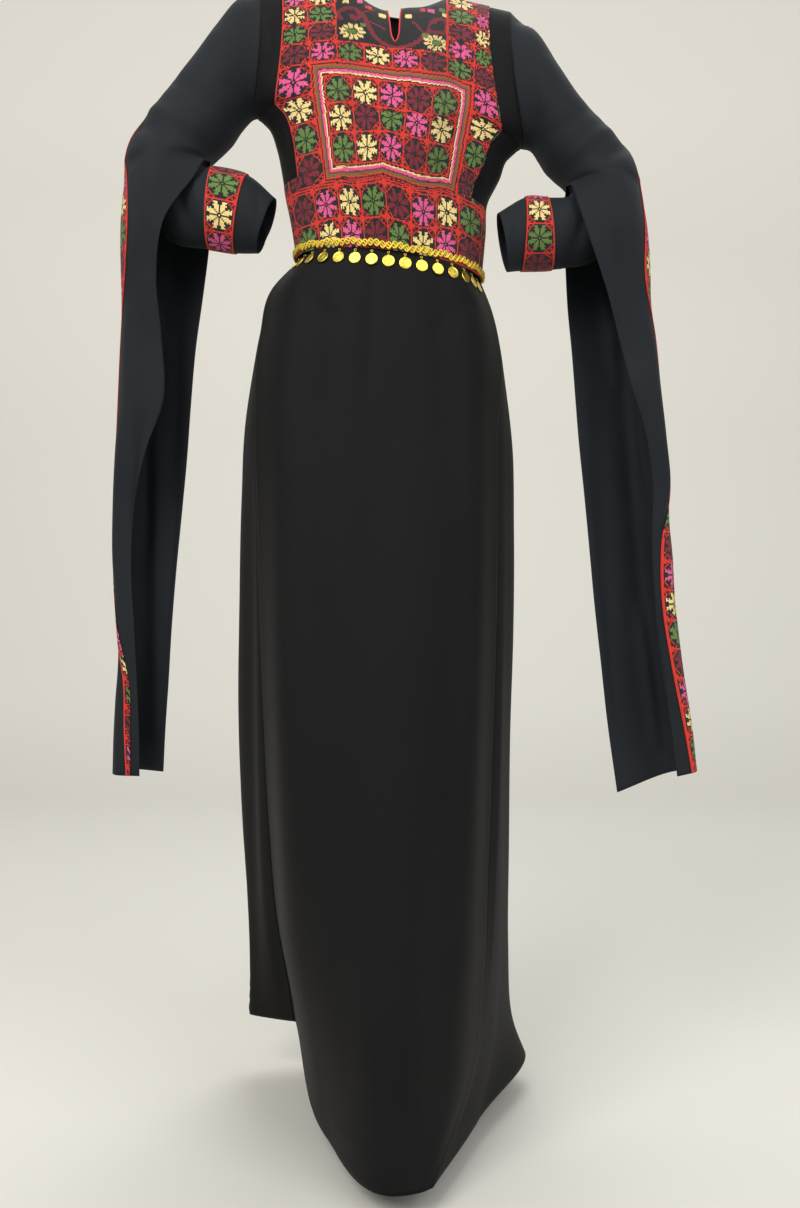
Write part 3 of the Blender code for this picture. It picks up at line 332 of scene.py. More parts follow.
def ring_middles(grid):
    """The middle of each row of a grid, for each of its points."""
    return grid.mean(axis=1, keepdims=True) * np.ones_like(grid)


def skirt_table(column, levels):
    rows = [dict(zip(SKIRT_COLUMNS, row)) for row in SKIRT_ROWS]
    knots = [-row["level"] for row in rows]
    return through(knots, [row[column] for row in rows], -levels)


def corner(side, middle, fullness):
    """The shoulder of a section, between its side and its middle: far across, less far in."""
    return middle + (side - middle) * np.array([fullness, 1 - fullness])


def skirt_section(level, part, shares):
    """The skirt's front or back at one level as a smooth curve from the left seam to the right seam."""
    point = {name: skirt_table(name, np.array([level]))[0] for name in SKIRT_COLUMNS[1:]}
    if part == "front":
        left, right = (corner(point[name], point["front"], point["fullness"])
                       for name in ("seam_left", "seam_right"))
        route = (point["seam_left"], left, point["front"], right, point["seam_right"])
        return along(route, shares)

    def on_the_way(seam, side, out):
        step = side - seam
        return seam + step * SEAM_TO_SIDE_SHARE + np.array([step[1], -step[0]]) * SEAM_TO_SIDE_BULGE * out

    def back_corner(side):
        return corner(side, point["back"], ROUND_CORNER)

    route = (point["seam_left"], on_the_way(point["seam_left"], point["side_left"], -1),
             point["side_left"], back_corner(point["side_left"]), point["back"],
             back_corner(point["side_right"]), point["side_right"],
             on_the_way(point["seam_right"], point["side_right"], 1), point["seam_right"])
    return along(route, shares)


def tube_ring(outer, inner, front_y, back_y, turn):
    """An oval ring: a turn of 0 is its inner line, a quarter is the front, a half is its outer line."""
    angle = 2 * math.pi * turn[:, None]
    outer = np.array([outer[0], 0.0, outer[1]])
    inner = np.array([inner[0], 0.0, inner[1]])
    middle = (outer + inner) / 2 + np.array([0.0, (front_y + back_y) / 2, 0.0])
    depth = np.array([0.0, (front_y - back_y) / 2, 0.0])
    return middle - np.cos(angle) * (outer - inner) / 2 + np.sin(angle) * depth


def wing_line(free, outer, inner, front_y, back_y, roundness):
    """A wing's section: from the free front edge over the front layer and the fold to the inner back edge."""
    free, inner = np.asarray(free), np.asarray(inner)
    fold = np.array([outer[0], (front_y + back_y) / 2, outer[1]])
    front = fold + (free - fold) * roundness
    front[1] = front_y
    back = fold + (inner - fold) * roundness
    back[1] = back_y
    return along((free, front, fold, back, inner), FINE), fold


def share_columns(stops, counts):
    """Shares across with the given counts of steps between the stops."""
    steps = zip(stops[:-1], stops[1:], counts)
    columns = [np.linspace(low, high, count + 1)[1:] for low, high, count in steps]
    return np.concatenate([[stops[0]], *columns])


BODICE_WIDTH = SHOULDER_RIGHT[0] - SHOULDER_LEFT[0]
SLIT_AT = (FRONT_NECK[2][0] - SHOULDER_LEFT[0]) / BODICE_WIDTH
SLIT_HALF = SLIT_WIDTH / 2 / BODICE_WIDTH
NECK_LEFT_AT = (NECK_LEFT[0] - SHOULDER_LEFT[0]) / BODICE_WIDTH
NECK_RIGHT_AT = (NECK_RIGHT[0] - SHOULDER_LEFT[0]) / BODICE_WIDTH


SLIT_BOTTOM = 1 - SLIT_DEPTH_SHARE
SLIT_REACH = 0.075
SLIT_SEAM = 0.0006


def parted(across, up):
    """Shares across and up as grids, the columns near the neck slit drawn aside to leave it open.

    The slit's half width grows from its rounded foot to the neck: 0.50 + 0.65 times the share of the way up,
    times the root of eight times that share, which stays at one from an eighth on.
    """
    across, up = np.meshgrid(across, up)
    share = np.clip((up - SLIT_BOTTOM) / (1 - SLIT_BOTTOM), 0, 1)
    half = SLIT_SEAM + SLIT_HALF * (0.5 + 0.65 * share) * np.sqrt(np.clip(8 * share, 0, 1))
    away = across - SLIT_AT
    near = np.clip(1 - np.abs(away) / SLIT_REACH, 0, 1)
    return across + np.sign(away) * half * near, up


def bodice_points(across, up, front):
    """The bodice's surface at shares across and up, in front with its neck slit."""
    across, up = parted(across, up) if front else np.meshgrid(across, up)
    return bodice_surface(across, up, front)


def slit_faces(across, up):
    """Which quads of a grid lie in the open neck slit."""
    middle = (across[:-1] + across[1:]) / 2
    return (np.abs(middle - SLIT_AT) < SLIT_SEAM)[None, :] & (up[:-1] >= SLIT_BOTTOM - 1e-9)[:, None]


# Shares across on both sides of the slit, whose two middle columns are its edges
SLIT_EDGES = (SLIT_AT - 1e-5, SLIT_AT + 1e-5)


def skirt_points(part, columns, rows):
    """The skirt's sections from the waist to the hem, tilted with the waist seam and the hem."""
    shares = np.linspace(0, 1, columns)
    drop = np.concatenate([np.linspace(0, 0.1, 24)[:-1], np.linspace(0.1, 1.0, rows - 23)])
    top, bottom = SKIRT_ROWS[0][0], SKIRT_ROWS[-1][0]
    grid = np.zeros((rows, columns, 3))
    grid[:, :, :2] = [skirt_section(top + (bottom - top) * share, part, shares) for share in drop]
    slope = (WAIST_RIGHT[2] - WAIST_LEFT[2]) / (WAIST_RIGHT[0] - WAIST_LEFT[0])
    waist_z = WAIST_LEFT[2] + slope * (grid[0, :, 0] - WAIST_LEFT[0]) - SEAM_GAP
    names = ("seam_left", "front", "seam_right") if part == "front" else (
        "seam_left", "side_left", "back", "side_right", "seam_right")
    stops = (0, 0.5, 1) if part == "front" else (0, 0.22, 0.5, 0.75, 1)
    hem_z = through(stops, [HEM_HEIGHT[name] for name in names], shares)
    grid[:, :, 2] = waist_z + (hem_z - waist_z) * drop[:, None]
    return grid


def placed_finely(line, fold, strip, columns):
    """Points on a sleeve's section: free edge to strip, across it, and on to the inner edge, even in each."""
    lengths = np.concatenate([[0.0], np.cumsum(np.linalg.norm(np.diff(line, axis=0), axis=1))])
    fold_at = lengths[np.argmin(np.linalg.norm(line - fold, axis=1))]
    wanted = share_columns((0, fold_at - strip[0], fold_at - strip[1], lengths[-1]), columns)
    return np.stack([np.interp(wanted, lengths, line[:, k]) for k in range(3)], axis=-1)


def sleeve_points(shoulder, armpit, tube, wing, strip, columns, rows_per_ring):
    """A sleeve's rings and wing sections, with a smooth curve down each column between them."""
    levels, borders = [-row[0] for row in strip], [row[1:] for row in strip]
    turns = share_columns((0, 0.375, 0.625, 1.0), columns)
    rings = [armhole(shoulder, armpit, 0.5 - turns)]
    for outer, inner, front_y, back_y in tube:
        line = tube_ring(outer, inner, front_y, back_y, FINE)
        fold = np.array([outer[0], (front_y + back_y) / 2, outer[1]])
        rings.append(placed_finely(line, fold, through(levels, borders, -outer[1]), columns))
    for row in wing:
        line, fold = wing_line(*row)
        rings.append(placed_finely(line, fold, through(levels, borders, -fold[2]), columns))
    return resampled(np.array(rings), (len(rings) - 1) * rows_per_ring + 1)


def resampled(grid, rows, columns=None):
    """A grid of points with as many rows and columns as wanted, on the same smooth surface."""
    grid = through(np.arange(len(grid)), grid, np.linspace(0, len(grid) - 1, rows))
    return grid if columns is None else resampled(grid.transpose(1, 0, 2), columns).transpose(1, 0, 2)


def forearm_points(sleeve, rows_per_ring, rings, columns):
    """Two rings just inside the sleeve, where the forearm sleeve is sewn in, then its own to the cuff."""
    normals = normals_of(sleeve, ring_middles(sleeve))
    at = np.linspace(0, sleeve.shape[1] - 1, columns)
    rows = []
    for ring_index, clear in ((FOREARM_SEWN_AT - 1, SEAM_GAP), (FOREARM_SEWN_AT, SEAM_GAP + CLOTH_WALL)):
        index = ring_index * rows_per_ring
        ring = sleeve[index] - normals[index] * (CLOTH_WALL + clear)
        rows.append(np.stack([np.interp(at, np.arange(len(ring)), ring[:, k]) for k in range(3)], axis=-1))
    turns = np.linspace(0, 1, columns)
    for outer, inner, middle, half in rings:
        rows.append(tube_ring(outer, inner, middle - half, middle + half, turns))
    return resampled(np.array(rows), (len(rows) - 1) * rows_per_ring + 1)


def soft_lines(first, second, creases):
    """Heights of soft creases over two coordinates: each a bell across its line that fades towards both ends.

    The bell is exp(-(distance / width)^2), the fade is sin(pi * share along the line) to the power one half.
    """
    height = np.zeros_like(first)
    for (a0, b0), (a1, b1), width, depth in creases:
        run_a, run_b = a1 - a0, b1 - b0
        share = ((first - a0) * run_a + (second - b0) * run_b) / (run_a**2 + run_b**2)
        near = np.clip(share, 0, 1)
        distance = np.hypot(first - a0 - near * run_a, second - b0 - near * run_b)
        fade = np.sqrt(np.clip(np.sin(math.pi * np.clip(share, 0.0, 1.0)), 0, 1))
        height += depth * np.exp(-((distance / width) ** 2)) * fade
    return height


def quads_of(rows, columns, wrapped_rows=0, wrap_down=False):
    """Corner numbers of a grid's quads: as drawn, and as joined where rows or columns close into loops."""
    drawn = np.arange(rows * columns).reshape(rows, columns)
    joined = drawn.copy()
    joined[:wrapped_rows, -1] = joined[:wrapped_rows, 0]
    if wrap_down:
        joined[-1] = joined[0]
    return [np.stack([n[:-1, :-1], n[:-1, 1:], n[1:, 1:], n[1:, :-1]], axis=-1).reshape(-1, 4)
            for n in (drawn, joined)]


def surface_mesh(name, patches):
    """A mesh of one or more grids of points, each turned so that its faces look outward.

    A patch is a dict with points, and where it needs them inside (points behind the faces), wrapped_rows,
    wrap_down, left_out (faces that are open), uv (two numbers a point) and colours (one colour a face).
    """
    points, faces, uvs, colours, start = [], [], [], [], 0
    for patch in patches:
        grid = patch["points"]
        rows, columns = grid.shape[:2]
        drawn, joined = quads_of(rows, columns, patch.get("wrapped_rows", 0), patch.get("wrap_down", False))
        kept = ~patch["left_out"].ravel() if "left_out" in patch else np.full(len(drawn), True)
        drawn, joined = drawn[kept], joined[kept]
        flat = grid.reshape(-1, 3)
        corner = flat[drawn]
        turned = np.cross(corner[:, 2] - corner[:, 0], corner[:, 3] - corner[:, 1])
        inside = patch.get("inside", flat.mean(axis=0))
        behind = np.broadcast_to(inside, grid.shape).reshape(-1, 3)[drawn[:, 0]]
        if np.sum(turned * (corner.mean(axis=1) - behind)) < 0:
            drawn, joined = drawn[:, ::-1], joined[:, ::-1]
        if "uv" in patch:
            uvs.append(patch["uv"].reshape(-1, 2)[drawn.ravel()])
        if "colours" in patch:
            colours.append(np.repeat(patch["colours"].reshape(-1, 4)[kept], 4, axis=0))
        points.append(flat)
        faces.append(joined + start)
        start += len(flat)
    points, faces = np.concatenate(points), np.concatenate(faces)
    used, faces = np.unique(faces, return_inverse=True)
    mesh = bpy.data.meshes.new(name)
    mesh.from_pydata(points[used].tolist(), [], faces.reshape(-1, 4).tolist())
    if uvs:
        layer = mesh.uv_layers.new(name="stitches")
        layer.uv.foreach_set("vector", np.concatenate(uvs).astype(np.float32).ravel())
    if colours:
        layer = mesh.color_attributes.new("thread", "FLOAT_COLOR", "CORNER")
        layer.data.foreach_set("color", np.concatenate(colours).astype(np.float32).ravel())
    mesh.shade_smooth()
    return mesh


def new_piece(name, patches, material, body, stands_for=(), wall=None):
    """An object of the patches, with a wall inwards if it is cloth, on its body and in place of its nodes."""
    mesh = surface_mesh(name, patches)
    mesh.materials.append(material)
    piece = bpy.data.objects.new(name, mesh)
    bpy.context.scene.collection.objects.link(piece)
    if wall:
        solidify = piece.modifiers.new("wall", "SOLIDIFY")
        solidify.thickness = wall
        solidify.offset = -1.0
    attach(piece, body)
    if stands_for:
        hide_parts(*stands_for)
    return piece


class Finish:
    """A value inside a material: numbers and other values are added, subtracted, multiplied and divided."""

    def __init__(self, tree, socket):
        self.tree, self.socket = tree, socket

    def node(self, kind, inputs=(), output=0, **settings):
        """Any node, with its inputs by name or number, as the value of one of its outputs."""
        made = self.tree.nodes.new(kind)
        for key, value in settings.items():
            setattr(made, key, value)
        for key, value in dict(inputs).items():
            if isinstance(value, Finish):
                self.tree.links.new(value.socket, made.inputs[key])
            else:
                made.inputs[key].default_value = value
        return Finish(self.tree, made.outputs[output])

    def maths(self, kind, first, second=0.0):
        return self.node("ShaderNodeMath", {0: first, 1: second}, operation=kind)

    def __add__(self, other):
        return self.maths("ADD", self, other)

    def __sub__(self, other):
        return self.maths("SUBTRACT", self, other)

    def __rsub__(self, other):
        return self.maths("SUBTRACT", other, self)

    def __mul__(self, other):
        return self.maths("MULTIPLY", self, other)

    def __truediv__(self, other):
        return self.maths("DIVIDE", self, other)

    __radd__, __rmul__ = __add__, __mul__

    def ramp(self, *stops):
        """A colour for this value, from stops of (place, red, green, blue)."""
        made = self.tree.nodes.new("ShaderNodeValToRGB")
        band = made.color_ramp.elements
        for number, (place, *colour) in enumerate(stops):
            stop = band[number] if number < 2 else band.new(place)
            stop.position, stop.color = place, (*colour, 1.0)
        self.tree.links.new(self.socket, made.inputs[0])
        return Finish(self.tree, made.outputs[0])


def start_finish(name, **settings):
    """A material, its shader with fixed values set, and its Object coordinates as the first value."""
    material = bpy.data.materials.new(name)
    material.use_nodes = True
    tree = material.node_tree
    shader = tree.nodes["Principled BSDF"]
    for key, value in settings.items():
        shader.inputs[key.replace("_", " ")].default_value = value
    where = Finish(tree, tree.nodes.new("ShaderNodeTexCoord").outputs["Object"])
    return material, shader, where


def end_finish(shader, **values):
    """Joins values to the shader's sockets; height goes through a Bump node of the given depth in metres."""
    for key, value in values.items():
        if key == "height":
            depth, raised = value
            value = raised.node("ShaderNodeBump", {"Height": raised, "Strength": 1.0, "Distance": depth})
            key = "Normal"
        value.tree.links.new(value.socket, shader.inputs[key.replace("_", " ")])


def black_crepe(name, dark, light):
    """Black crepe: pebbled threads about 0.7 mm apart, tone that shifts over hand-wide patches, soft nap."""
    material, shader, where = start_finish(name, Roughness=0.78, Sheen_Weight=0.02, Sheen_Roughness=0.45)
    shader.inputs["Specular IOR Level"].default_value = 0.16
    patches = where.node("ShaderNodeTexNoise", {"Vector": where, "Scale": 7.0, "Detail": 3.0})
    pebble = where.node("ShaderNodeTexNoise",
                        {"Vector": where, "Scale": 900.0, "Detail": 2.0, "Roughness": 0.6})
    threads = where.node("ShaderNodeTexVoronoi", {"Vector": where, "Scale": 1400.0}, feature="SMOOTH_F1")
    tone = patches * 0.7 + pebble * 0.3
    end_finish(shader, Base_Color=tone.ramp((0.3, *dark), (0.7, *light)),
               Roughness=patches * 0.12 + 0.7, height=(0.00022, pebble * 0.6 + threads * 0.4))
    return material


def cross_stitch():
    """Cotton cross-stitch: the thread's colour, an X raised in each stitch, painted shade between the arms of
    each X, and flecks in its tone.
    """
    material, shader, where = start_finish("cross_stitch", Roughness=0.72, Sheen_Weight=0.06)
    shader.inputs["Specular IOR Level"].default_value = 0.3
    colour = where.node("ShaderNodeAttribute", output="Color", attribute_name="thread")
    spot = where.node("ShaderNodeUVMap", uv_map="stitches")
    u = where.node("ShaderNodeSeparateXYZ", {0: spot}, output="X")
    v = where.node("ShaderNodeSeparateXYZ", {0: spot}, output="Y")
    u, v = u.maths("FRACT", u), v.maths("FRACT", v)
    rising = 1.0 - (u - v).maths("ABSOLUTE", u - v) * 2.6
    falling = 1.0 - (u + v - 1.0).maths("ABSOLUTE", u + v - 1.0) * 2.6
    cross = rising.maths("MAXIMUM", rising, falling)
    cross = cross.maths("MAXIMUM", cross, 0.0)
    fleck = where.node("ShaderNodeTexNoise", {"Vector": where, "Scale": 1500.0, "Detail": 1.0})
    # Painted shade: the thread's colour darkens off the arms of the X, in the stitch's hollows; the flecks
    # vary its tone at random
    light = cross * 0.35 + fleck * 0.4 + 0.62
    shaded = where.node("ShaderNodeVectorMath", {0: colour, 1: light}, operation="MULTIPLY")
    end_finish(shader, Base_Color=shaded, Roughness=fleck * 0.25 + 0.6, height=(0.0005, cross))
    return material


def gold_finish(name, tone, roughness, grain, depth, metal=1.0):
    """Gold: warm metal with a hand-worn roughness that varies over millimetres, and a fine grain."""
    material, shader, where = start_finish(name, Metallic=metal)
    wear = where.node("ShaderNodeTexNoise", {"Vector": where, "Scale": 260.0, "Detail": 3.0})
    fine = where.node("ShaderNodeTexNoise", {"Vector": where, "Scale": grain, "Detail": 1.0})
    darker = [channel * 0.62 for channel in tone]
    end_finish(shader, Base_Color=wear.ramp((0.3, *darker), (0.62, *tone)), Roughness=wear * 0.3 + roughness,
               height=(depth, fine))
    return material


BLACK_CREPE = black_crepe("black_crepe", (0.002, 0.002, 0.0023), (0.0044, 0.0043, 0.0046))
# Sleeves and forearms: the same black crepe painted lighter and a little bluer, painted light for the
# stronger light that falls on the upper dress
PAINTED_LIGHT_CREPE = black_crepe("painted_light_crepe", (0.007, 0.009, 0.012), (0.0125, 0.0155, 0.019))
CROSS_STITCH = cross_stitch()
COIN_GOLD = gold_finish("coin_gold", (0.95, 0.72, 0.11), 0.18, 2200.0, 0.00004)
GOLD_THREAD = gold_finish("gold_thread", (0.84, 0.62, 0.06), 0.3, 1600.0, 0.0003, 0.35)

# Embroidery: stitches a cell, thread colours, and the order of the stars
CELL_STITCHES = 21
THREADS = {"black": (0.01, 0.01, 0.011), "red": (0.66, 0.03, 0.016), "maroon": (0.19, 0.014, 0.028),
           "pink": (0.74, 0.095, 0.27), "cream": (0.86, 0.66, 0.26), "green": (0.12, 0.21, 0.045),
           "olive": (0.165, 0.12, 0.035)}
THREAD_NAMES = tuple(THREADS)
STAR_LETTERS = {"M": "maroon", "P": "pink", "C": "cream", "G": "green"}
PANEL_STARS = ("MMGCPMGM", "GGCPMGCG", "CMPGCMPC", "PPMCGPMP",
               "MPGCPMGM", "GMPCGMPG", "CGMPCGMC", "PCGMPCGP", "MPCGMPCM")
BAND_STARS = ("GCPMGCPM", "MPCGMPCG")
BAND_LOWER = 10


def thread(name):
    return THREAD_NAMES.index(name)


def star_cells(i, j, letters):
    """Thread numbers for stitches i across and j up, in cells of stars: eight petals, an octagon, and knots.

    With a and b the distances from the cell's middle, a petal is where the smaller is from 1 to 3 and the
    difference from 1 to 5, with teeth on its outer sides. The octagon is where a + b is 14, and the knot is a
    small diamond at each corner in a ring of dots.
    """
    half = (CELL_STITCHES - 1) / 2
    a = np.abs(i % CELL_STITCHES - half)
    b = np.abs(j % CELL_STITCHES - half)
    high, low = np.maximum(a, b), np.minimum(a, b)
    colour = np.full(a.shape, thread("black"))
    to_corner = (half - a) + (half - b)
    colour[(i % CELL_STITCHES < 1) | (j % CELL_STITCHES < 1) | (to_corner == 6)] = thread("red")
    colour[(to_corner < 2.5) | ((to_corner == 4) & (i % 2 == 0))] = thread("red")
    longer = high - low
    petal = (low >= 1) & (low <= 3) & (longer >= 1) & (longer <= 5)
    tooth = ((low == 4) & ((longer == 2) | (longer == 4))) | ((longer == 6) & (low == 2))
    star = petal | tooth | (high < 1)
    column = np.clip(i // CELL_STITCHES, 0, letters.shape[1] - 1)
    row = np.clip(j // CELL_STITCHES, 0, letters.shape[0] - 1)
    return np.where(star, letters[row, column], colour)


def chart_letters(rows):
    """Rows of star letters, the lowest first, as thread numbers."""
    return np.array([[thread(STAR_LETTERS[letter]) for letter in row] for row in rows])


# Stripes of the chest square, from its outer border inwards, one stitch each
SQUARE_STRIPES = ("red", "black", "red", "olive", "olive", "maroon", "pink", "pink", "cream", "black")
# Vines and twigs at the neck as corners in cells (across, up), flowers by their middles, and small squares
VINES = (((2.6, 6.5), (2.7, 6.3), (2.9, 6.5), (2.8, 6.8), (2.5, 6.9), (2.1, 6.6), (2.2, 6.3)),
         ((2.8, 6.8), (3.0, 6.6), (3.2, 6.0), (3.4, 5.5), (3.9, 5.1), (4.4, 5.1), (4.8, 5.3), (5.1, 5.7),
          (5.4, 6.1), (5.8, 6.1), (6.0, 6.5), (5.9, 6.9), (5.6, 6.8), (5.5, 6.6)))
TWIGS = (((3.0, 6.7), (3.4, 7.0)), ((3.1, 6.3), (3.8, 6.0)), ((4.75, 6.5), (5.1, 6.0)),
         ((5.2, 5.9), (5.5, 6.9)))
FLOWERS = ((2.6, 5.6), (5.6, 5.5))
# Half widths in cells, and the points that draw a vine
VINE_HALF_WIDTH = 0.095
TWIG_HALF_WIDTH = 0.04
BUD_HALF_WIDTH = 0.11
FIELD_LINE_HALF_WIDTH = 0.06
VINE_POINTS = 60
# A flower's radius in cells, then shares of it: how far petals reach past it, its ring and its heart
FLOWER_RADIUS = 0.44
PETAL_REACH = 0.08
FLOWER_RING = 0.44
FLOWER_HEART = 0.34
FLOWER_PETALS = 11
PETAL_GAP = -0.75
FLOWER_SQUASH = 1.1
BUDS = ((2.4, 7.3, "cream"), (2.9, 7.4, "pink"), (3.2, 7.1, "red"), (3.7, 6.8, "cream"), (4.6, 6.8, "cream"),
        (5.1, 7.3, "red"), (5.4, 7.3, "pink"), (5.8, 7.5, "green"), (5.9, 7.2, "cream"), (5.2, 5.8, "green"),
        (3.0, 6.0, "green"))


def neck_threads(across, up):
    """The black field under the neck: two scrolling vines with twigs, two flowers and small squares."""
    neck = np.full(across.shape, thread("black"))
    for lines, half_width, name in ((TWIGS, TWIG_HALF_WIDTH, "maroon"), (VINES, VINE_HALF_WIDTH, "maroon")):
        for corners in lines:
            along = np.linspace(0, len(corners) - 1, VINE_POINTS)
            line = through(np.arange(len(corners)), np.array(corners), along)
            gap = np.min(np.hypot(across[..., None] - line[:, 0], up[..., None] - line[:, 1]), axis=-1)
            neck[gap < half_width] = thread(name)
    for x, z, name in BUDS:
        neck[np.maximum(np.abs(across - x), np.abs(up - z)) < BUD_HALF_WIDTH] = thread(name)
    for x, z in FLOWERS:
        away = np.hypot(across - x, (up - z) * FLOWER_SQUASH) / FLOWER_RADIUS
        turn = np.cos(FLOWER_PETALS * np.arctan2(up - z, across - x))
        neck[(away < 1 + PETAL_REACH * turn) & (turn > PETAL_GAP)] = thread("cream")
        neck[away < FLOWER_RING] = thread("black")
        neck[away < FLOWER_HEART] = thread("green")
    sides = np.minimum(np.abs(across - 2), np.abs(across - 6))
    neck[(sides < FIELD_LINE_HALF_WIDTH) | (up < 5.06)] = thread("red")
    return neck


# The band's red edges in cells: its two ends, and a line above the lower stars with its half width
BAND_ENDS = (-0.15, 8.17)
BAND_LINE = 2.14
BAND_LINE_HALF_WIDTH = 0.03


def bodice_threads(i, j):
    """The chest panel's chart and, ten cells lower, the waist band's.

    The panel has stars, a striped square three stars high, and the field at the neck. The band has two rows
    of stars.
    """
    colour = star_cells(i, j, chart_letters(PANEL_STARS))
    across, up = (i + 0.5) / CELL_STITCHES, (j + 0.5) / CELL_STITCHES
    edge = np.minimum(np.minimum(across - 1, 7 - across), np.minimum(up, 4 - up))
    half = CELL_STITCHES // 2
    inner = star_cells(i - CELL_STITCHES - half, j - half, chart_letters(("GCPMG", "CMGPC", "GCPMG")))
    stripe = np.clip((edge * CELL_STITCHES).astype(int), 0, len(SQUARE_STRIPES) - 1)
    stripes = np.array([thread(name) for name in SQUARE_STRIPES])[stripe]
    colour = np.where(edge > 0, np.where(edge < 0.5, stripes, inner), colour)
    colour = np.where((across > 2) & (across < 6) & (up > 5), neck_threads(across, up), colour)
    lower = star_cells(i, j + BAND_LOWER * CELL_STITCHES, chart_letters(BAND_STARS))
    rise = up + BAND_LOWER
    past_ends = (across < BAND_ENDS[0]) | (across > BAND_ENDS[1])
    lower[past_ends | (np.abs(rise - BAND_LINE) < BAND_LINE_HALF_WIDTH)] = thread("red")
    return np.where(up < 0, lower, colour)


def border_threads(i, j, letters, columns, rows):
    """A band's chart: stars inside one border of red, with a black line of stitches in from it."""
    colour = star_cells(i, j, letters)
    edge = np.minimum(np.minimum(i, columns - 1 - i), np.minimum(j, rows - 1 - j))
    colour[edge <= 0] = thread("red")
    return colour


def embroidered(grid, uv, chart):
    """A patch of stitched cloth: each quad has the colour of the stitch at its middle, and tone drifts."""
    middle = (uv[:-1, :-1] + uv[1:, 1:]) / 2
    i, j = np.floor(middle[..., 0]).astype(int), np.floor(middle[..., 1]).astype(int)
    palette = np.array([(*THREADS[name], 1.0) for name in THREAD_NAMES])
    colours = palette[chart(i, j)]
    drift = 0.94 + 0.1 * np.sin(i * 1.7 + np.sin(j * 0.9) * 2) * np.cos(j * 1.3)
    colours[..., :3] *= drift[..., None]
    return {"points": grid, "uv": uv, "colours": colours}


def ring_tube(path, radius, sides, closed):
    """A tube round a path: each circle lies across the path, level with the world's up direction."""
    ahead = np.gradient(path, axis=0)
    if closed:
        ahead = np.roll(path, -1, axis=0) - np.roll(path, 1, axis=0)
    ahead /= np.linalg.norm(ahead, axis=-1, keepdims=True)
    side = np.cross(ahead, np.array([0.0, 0.0, 1.0]) + 1e-6)
    side /= np.linalg.norm(side, axis=-1, keepdims=True)
    over = np.cross(side, ahead)
    turn = np.linspace(0, 2 * math.pi, sides + 1)[:, None]
    circles = path[:, None] + radius * (np.cos(turn) * side[:, None] + np.sin(turn) * over[:, None])
    if closed:
        circles = np.concatenate([circles, circles[:1]])
    patch = {"points": circles, "wrapped_rows": len(circles), "wrap_down": closed}
    patch["inside"] = np.concatenate([path, path[:1]])[:, None] if closed else path[:, None]
    return patch


# Creases, each from a point to a point in x and z, with its width and its height, in metres
SKIRT_FRONT_CREASES = (
    ((-0.022, -0.375), (-0.026, -0.56), 0.01, -0.0035), ((0.062, -0.372), (0.085, -0.7), 0.02, -0.005),
    ((-0.088, -0.365), (-0.115, -0.64), 0.022, -0.005), ((-0.052, -0.37), (-0.06, -0.9), 0.03, 0.0045),
    ((0.026, -0.38), (0.04, -1.25), 0.034, 0.005), ((-0.13, -0.56), (-0.125, -1.33), 0.024, 0.006),
    ((-0.072, -0.8), (-0.05, -1.46), 0.03, -0.006), ((0.09, -0.72), (0.06, -1.44), 0.026, -0.007),
    ((0.118, -0.56), (0.095, -1.3), 0.018, 0.006), ((0.01, -1.0), (0.022, -1.5), 0.03, 0.005),
    ((-0.12, -0.41), (-0.06, -0.47), 0.014, -0.003), ((0.11, -0.42), (0.05, -0.48), 0.014, -0.003),
)
SKIRT_BACK_CREASES = (
    ((-0.15, -0.42), (-0.175, -1.44), 0.022, 0.0075), ((-0.105, -0.37), (-0.12, -1.46), 0.02, -0.008),
    ((-0.058, -0.37), (-0.07, -1.48), 0.026, 0.008), ((-0.012, -0.38), (-0.022, -1.47), 0.018, -0.007),
    ((0.036, -0.37), (0.04, -1.48), 0.026, 0.008), ((0.08, -0.375), (0.098, -1.47), 0.02, -0.008),
    ((0.118, -0.4), (0.145, -1.46), 0.022, 0.007), ((-0.182, -0.62), (-0.2, -1.43), 0.014, -0.005),
)
BODICE_CREASES = (
    ((-0.16, -0.16), (-0.125, -0.215), 0.009, -0.003), ((-0.15, -0.14), (-0.118, -0.18), 0.008, 0.0025),
    ((0.16, -0.205), (0.128, -0.25), 0.009, -0.003), ((0.152, -0.18), (0.122, -0.215), 0.008, 0.0025),
    ((-0.12, -0.33), (-0.07, -0.3), 0.008, -0.0018), ((0.115, -0.35), (0.07, -0.315), 0.008, -0.0018),
    ((-0.165, -0.04), (-0.15, -0.11), 0.01, 0.0025), ((0.15, -0.07), (0.148, -0.14), 0.01, 0.0025),
)
SLEEVE_CREASES = {
    "left": (((-0.345, -0.175), (-0.285, -0.205), 0.012, -0.005),
             ((-0.33, -0.15), (-0.25, -0.195), 0.01, 0.0035),
             ((-0.3, -0.11), (-0.235, -0.165), 0.012, -0.003),
             ((-0.345, -0.25), (-0.318, -0.39), 0.012, -0.004),
             ((-0.23, -0.05), (-0.215, -0.13), 0.012, 0.003), ((-0.35, -0.42), (-0.345, -0.76), 0.01, 0.004),
             ((-0.33, -0.56), (-0.325, -1.02), 0.01, -0.0045),
             ((-0.3, -0.42), (-0.312, -0.98), 0.012, 0.004)),
    "right": (((0.325, -0.205), (0.27, -0.24), 0.012, -0.005), ((0.305, -0.18), (0.235, -0.23), 0.01, 0.0035),
              ((0.28, -0.15), (0.215, -0.2), 0.012, -0.003), ((0.3, -0.33), (0.322, -0.52), 0.011, -0.005),
              ((0.21, -0.09), (0.205, -0.165), 0.012, 0.003), ((0.33, -0.5), (0.36, -0.85), 0.012, 0.0045),
              ((0.35, -0.82), (0.376, -1.03), 0.01, -0.006), ((0.29, -0.52), (0.315, -1.0), 0.014, 0.004)),
}
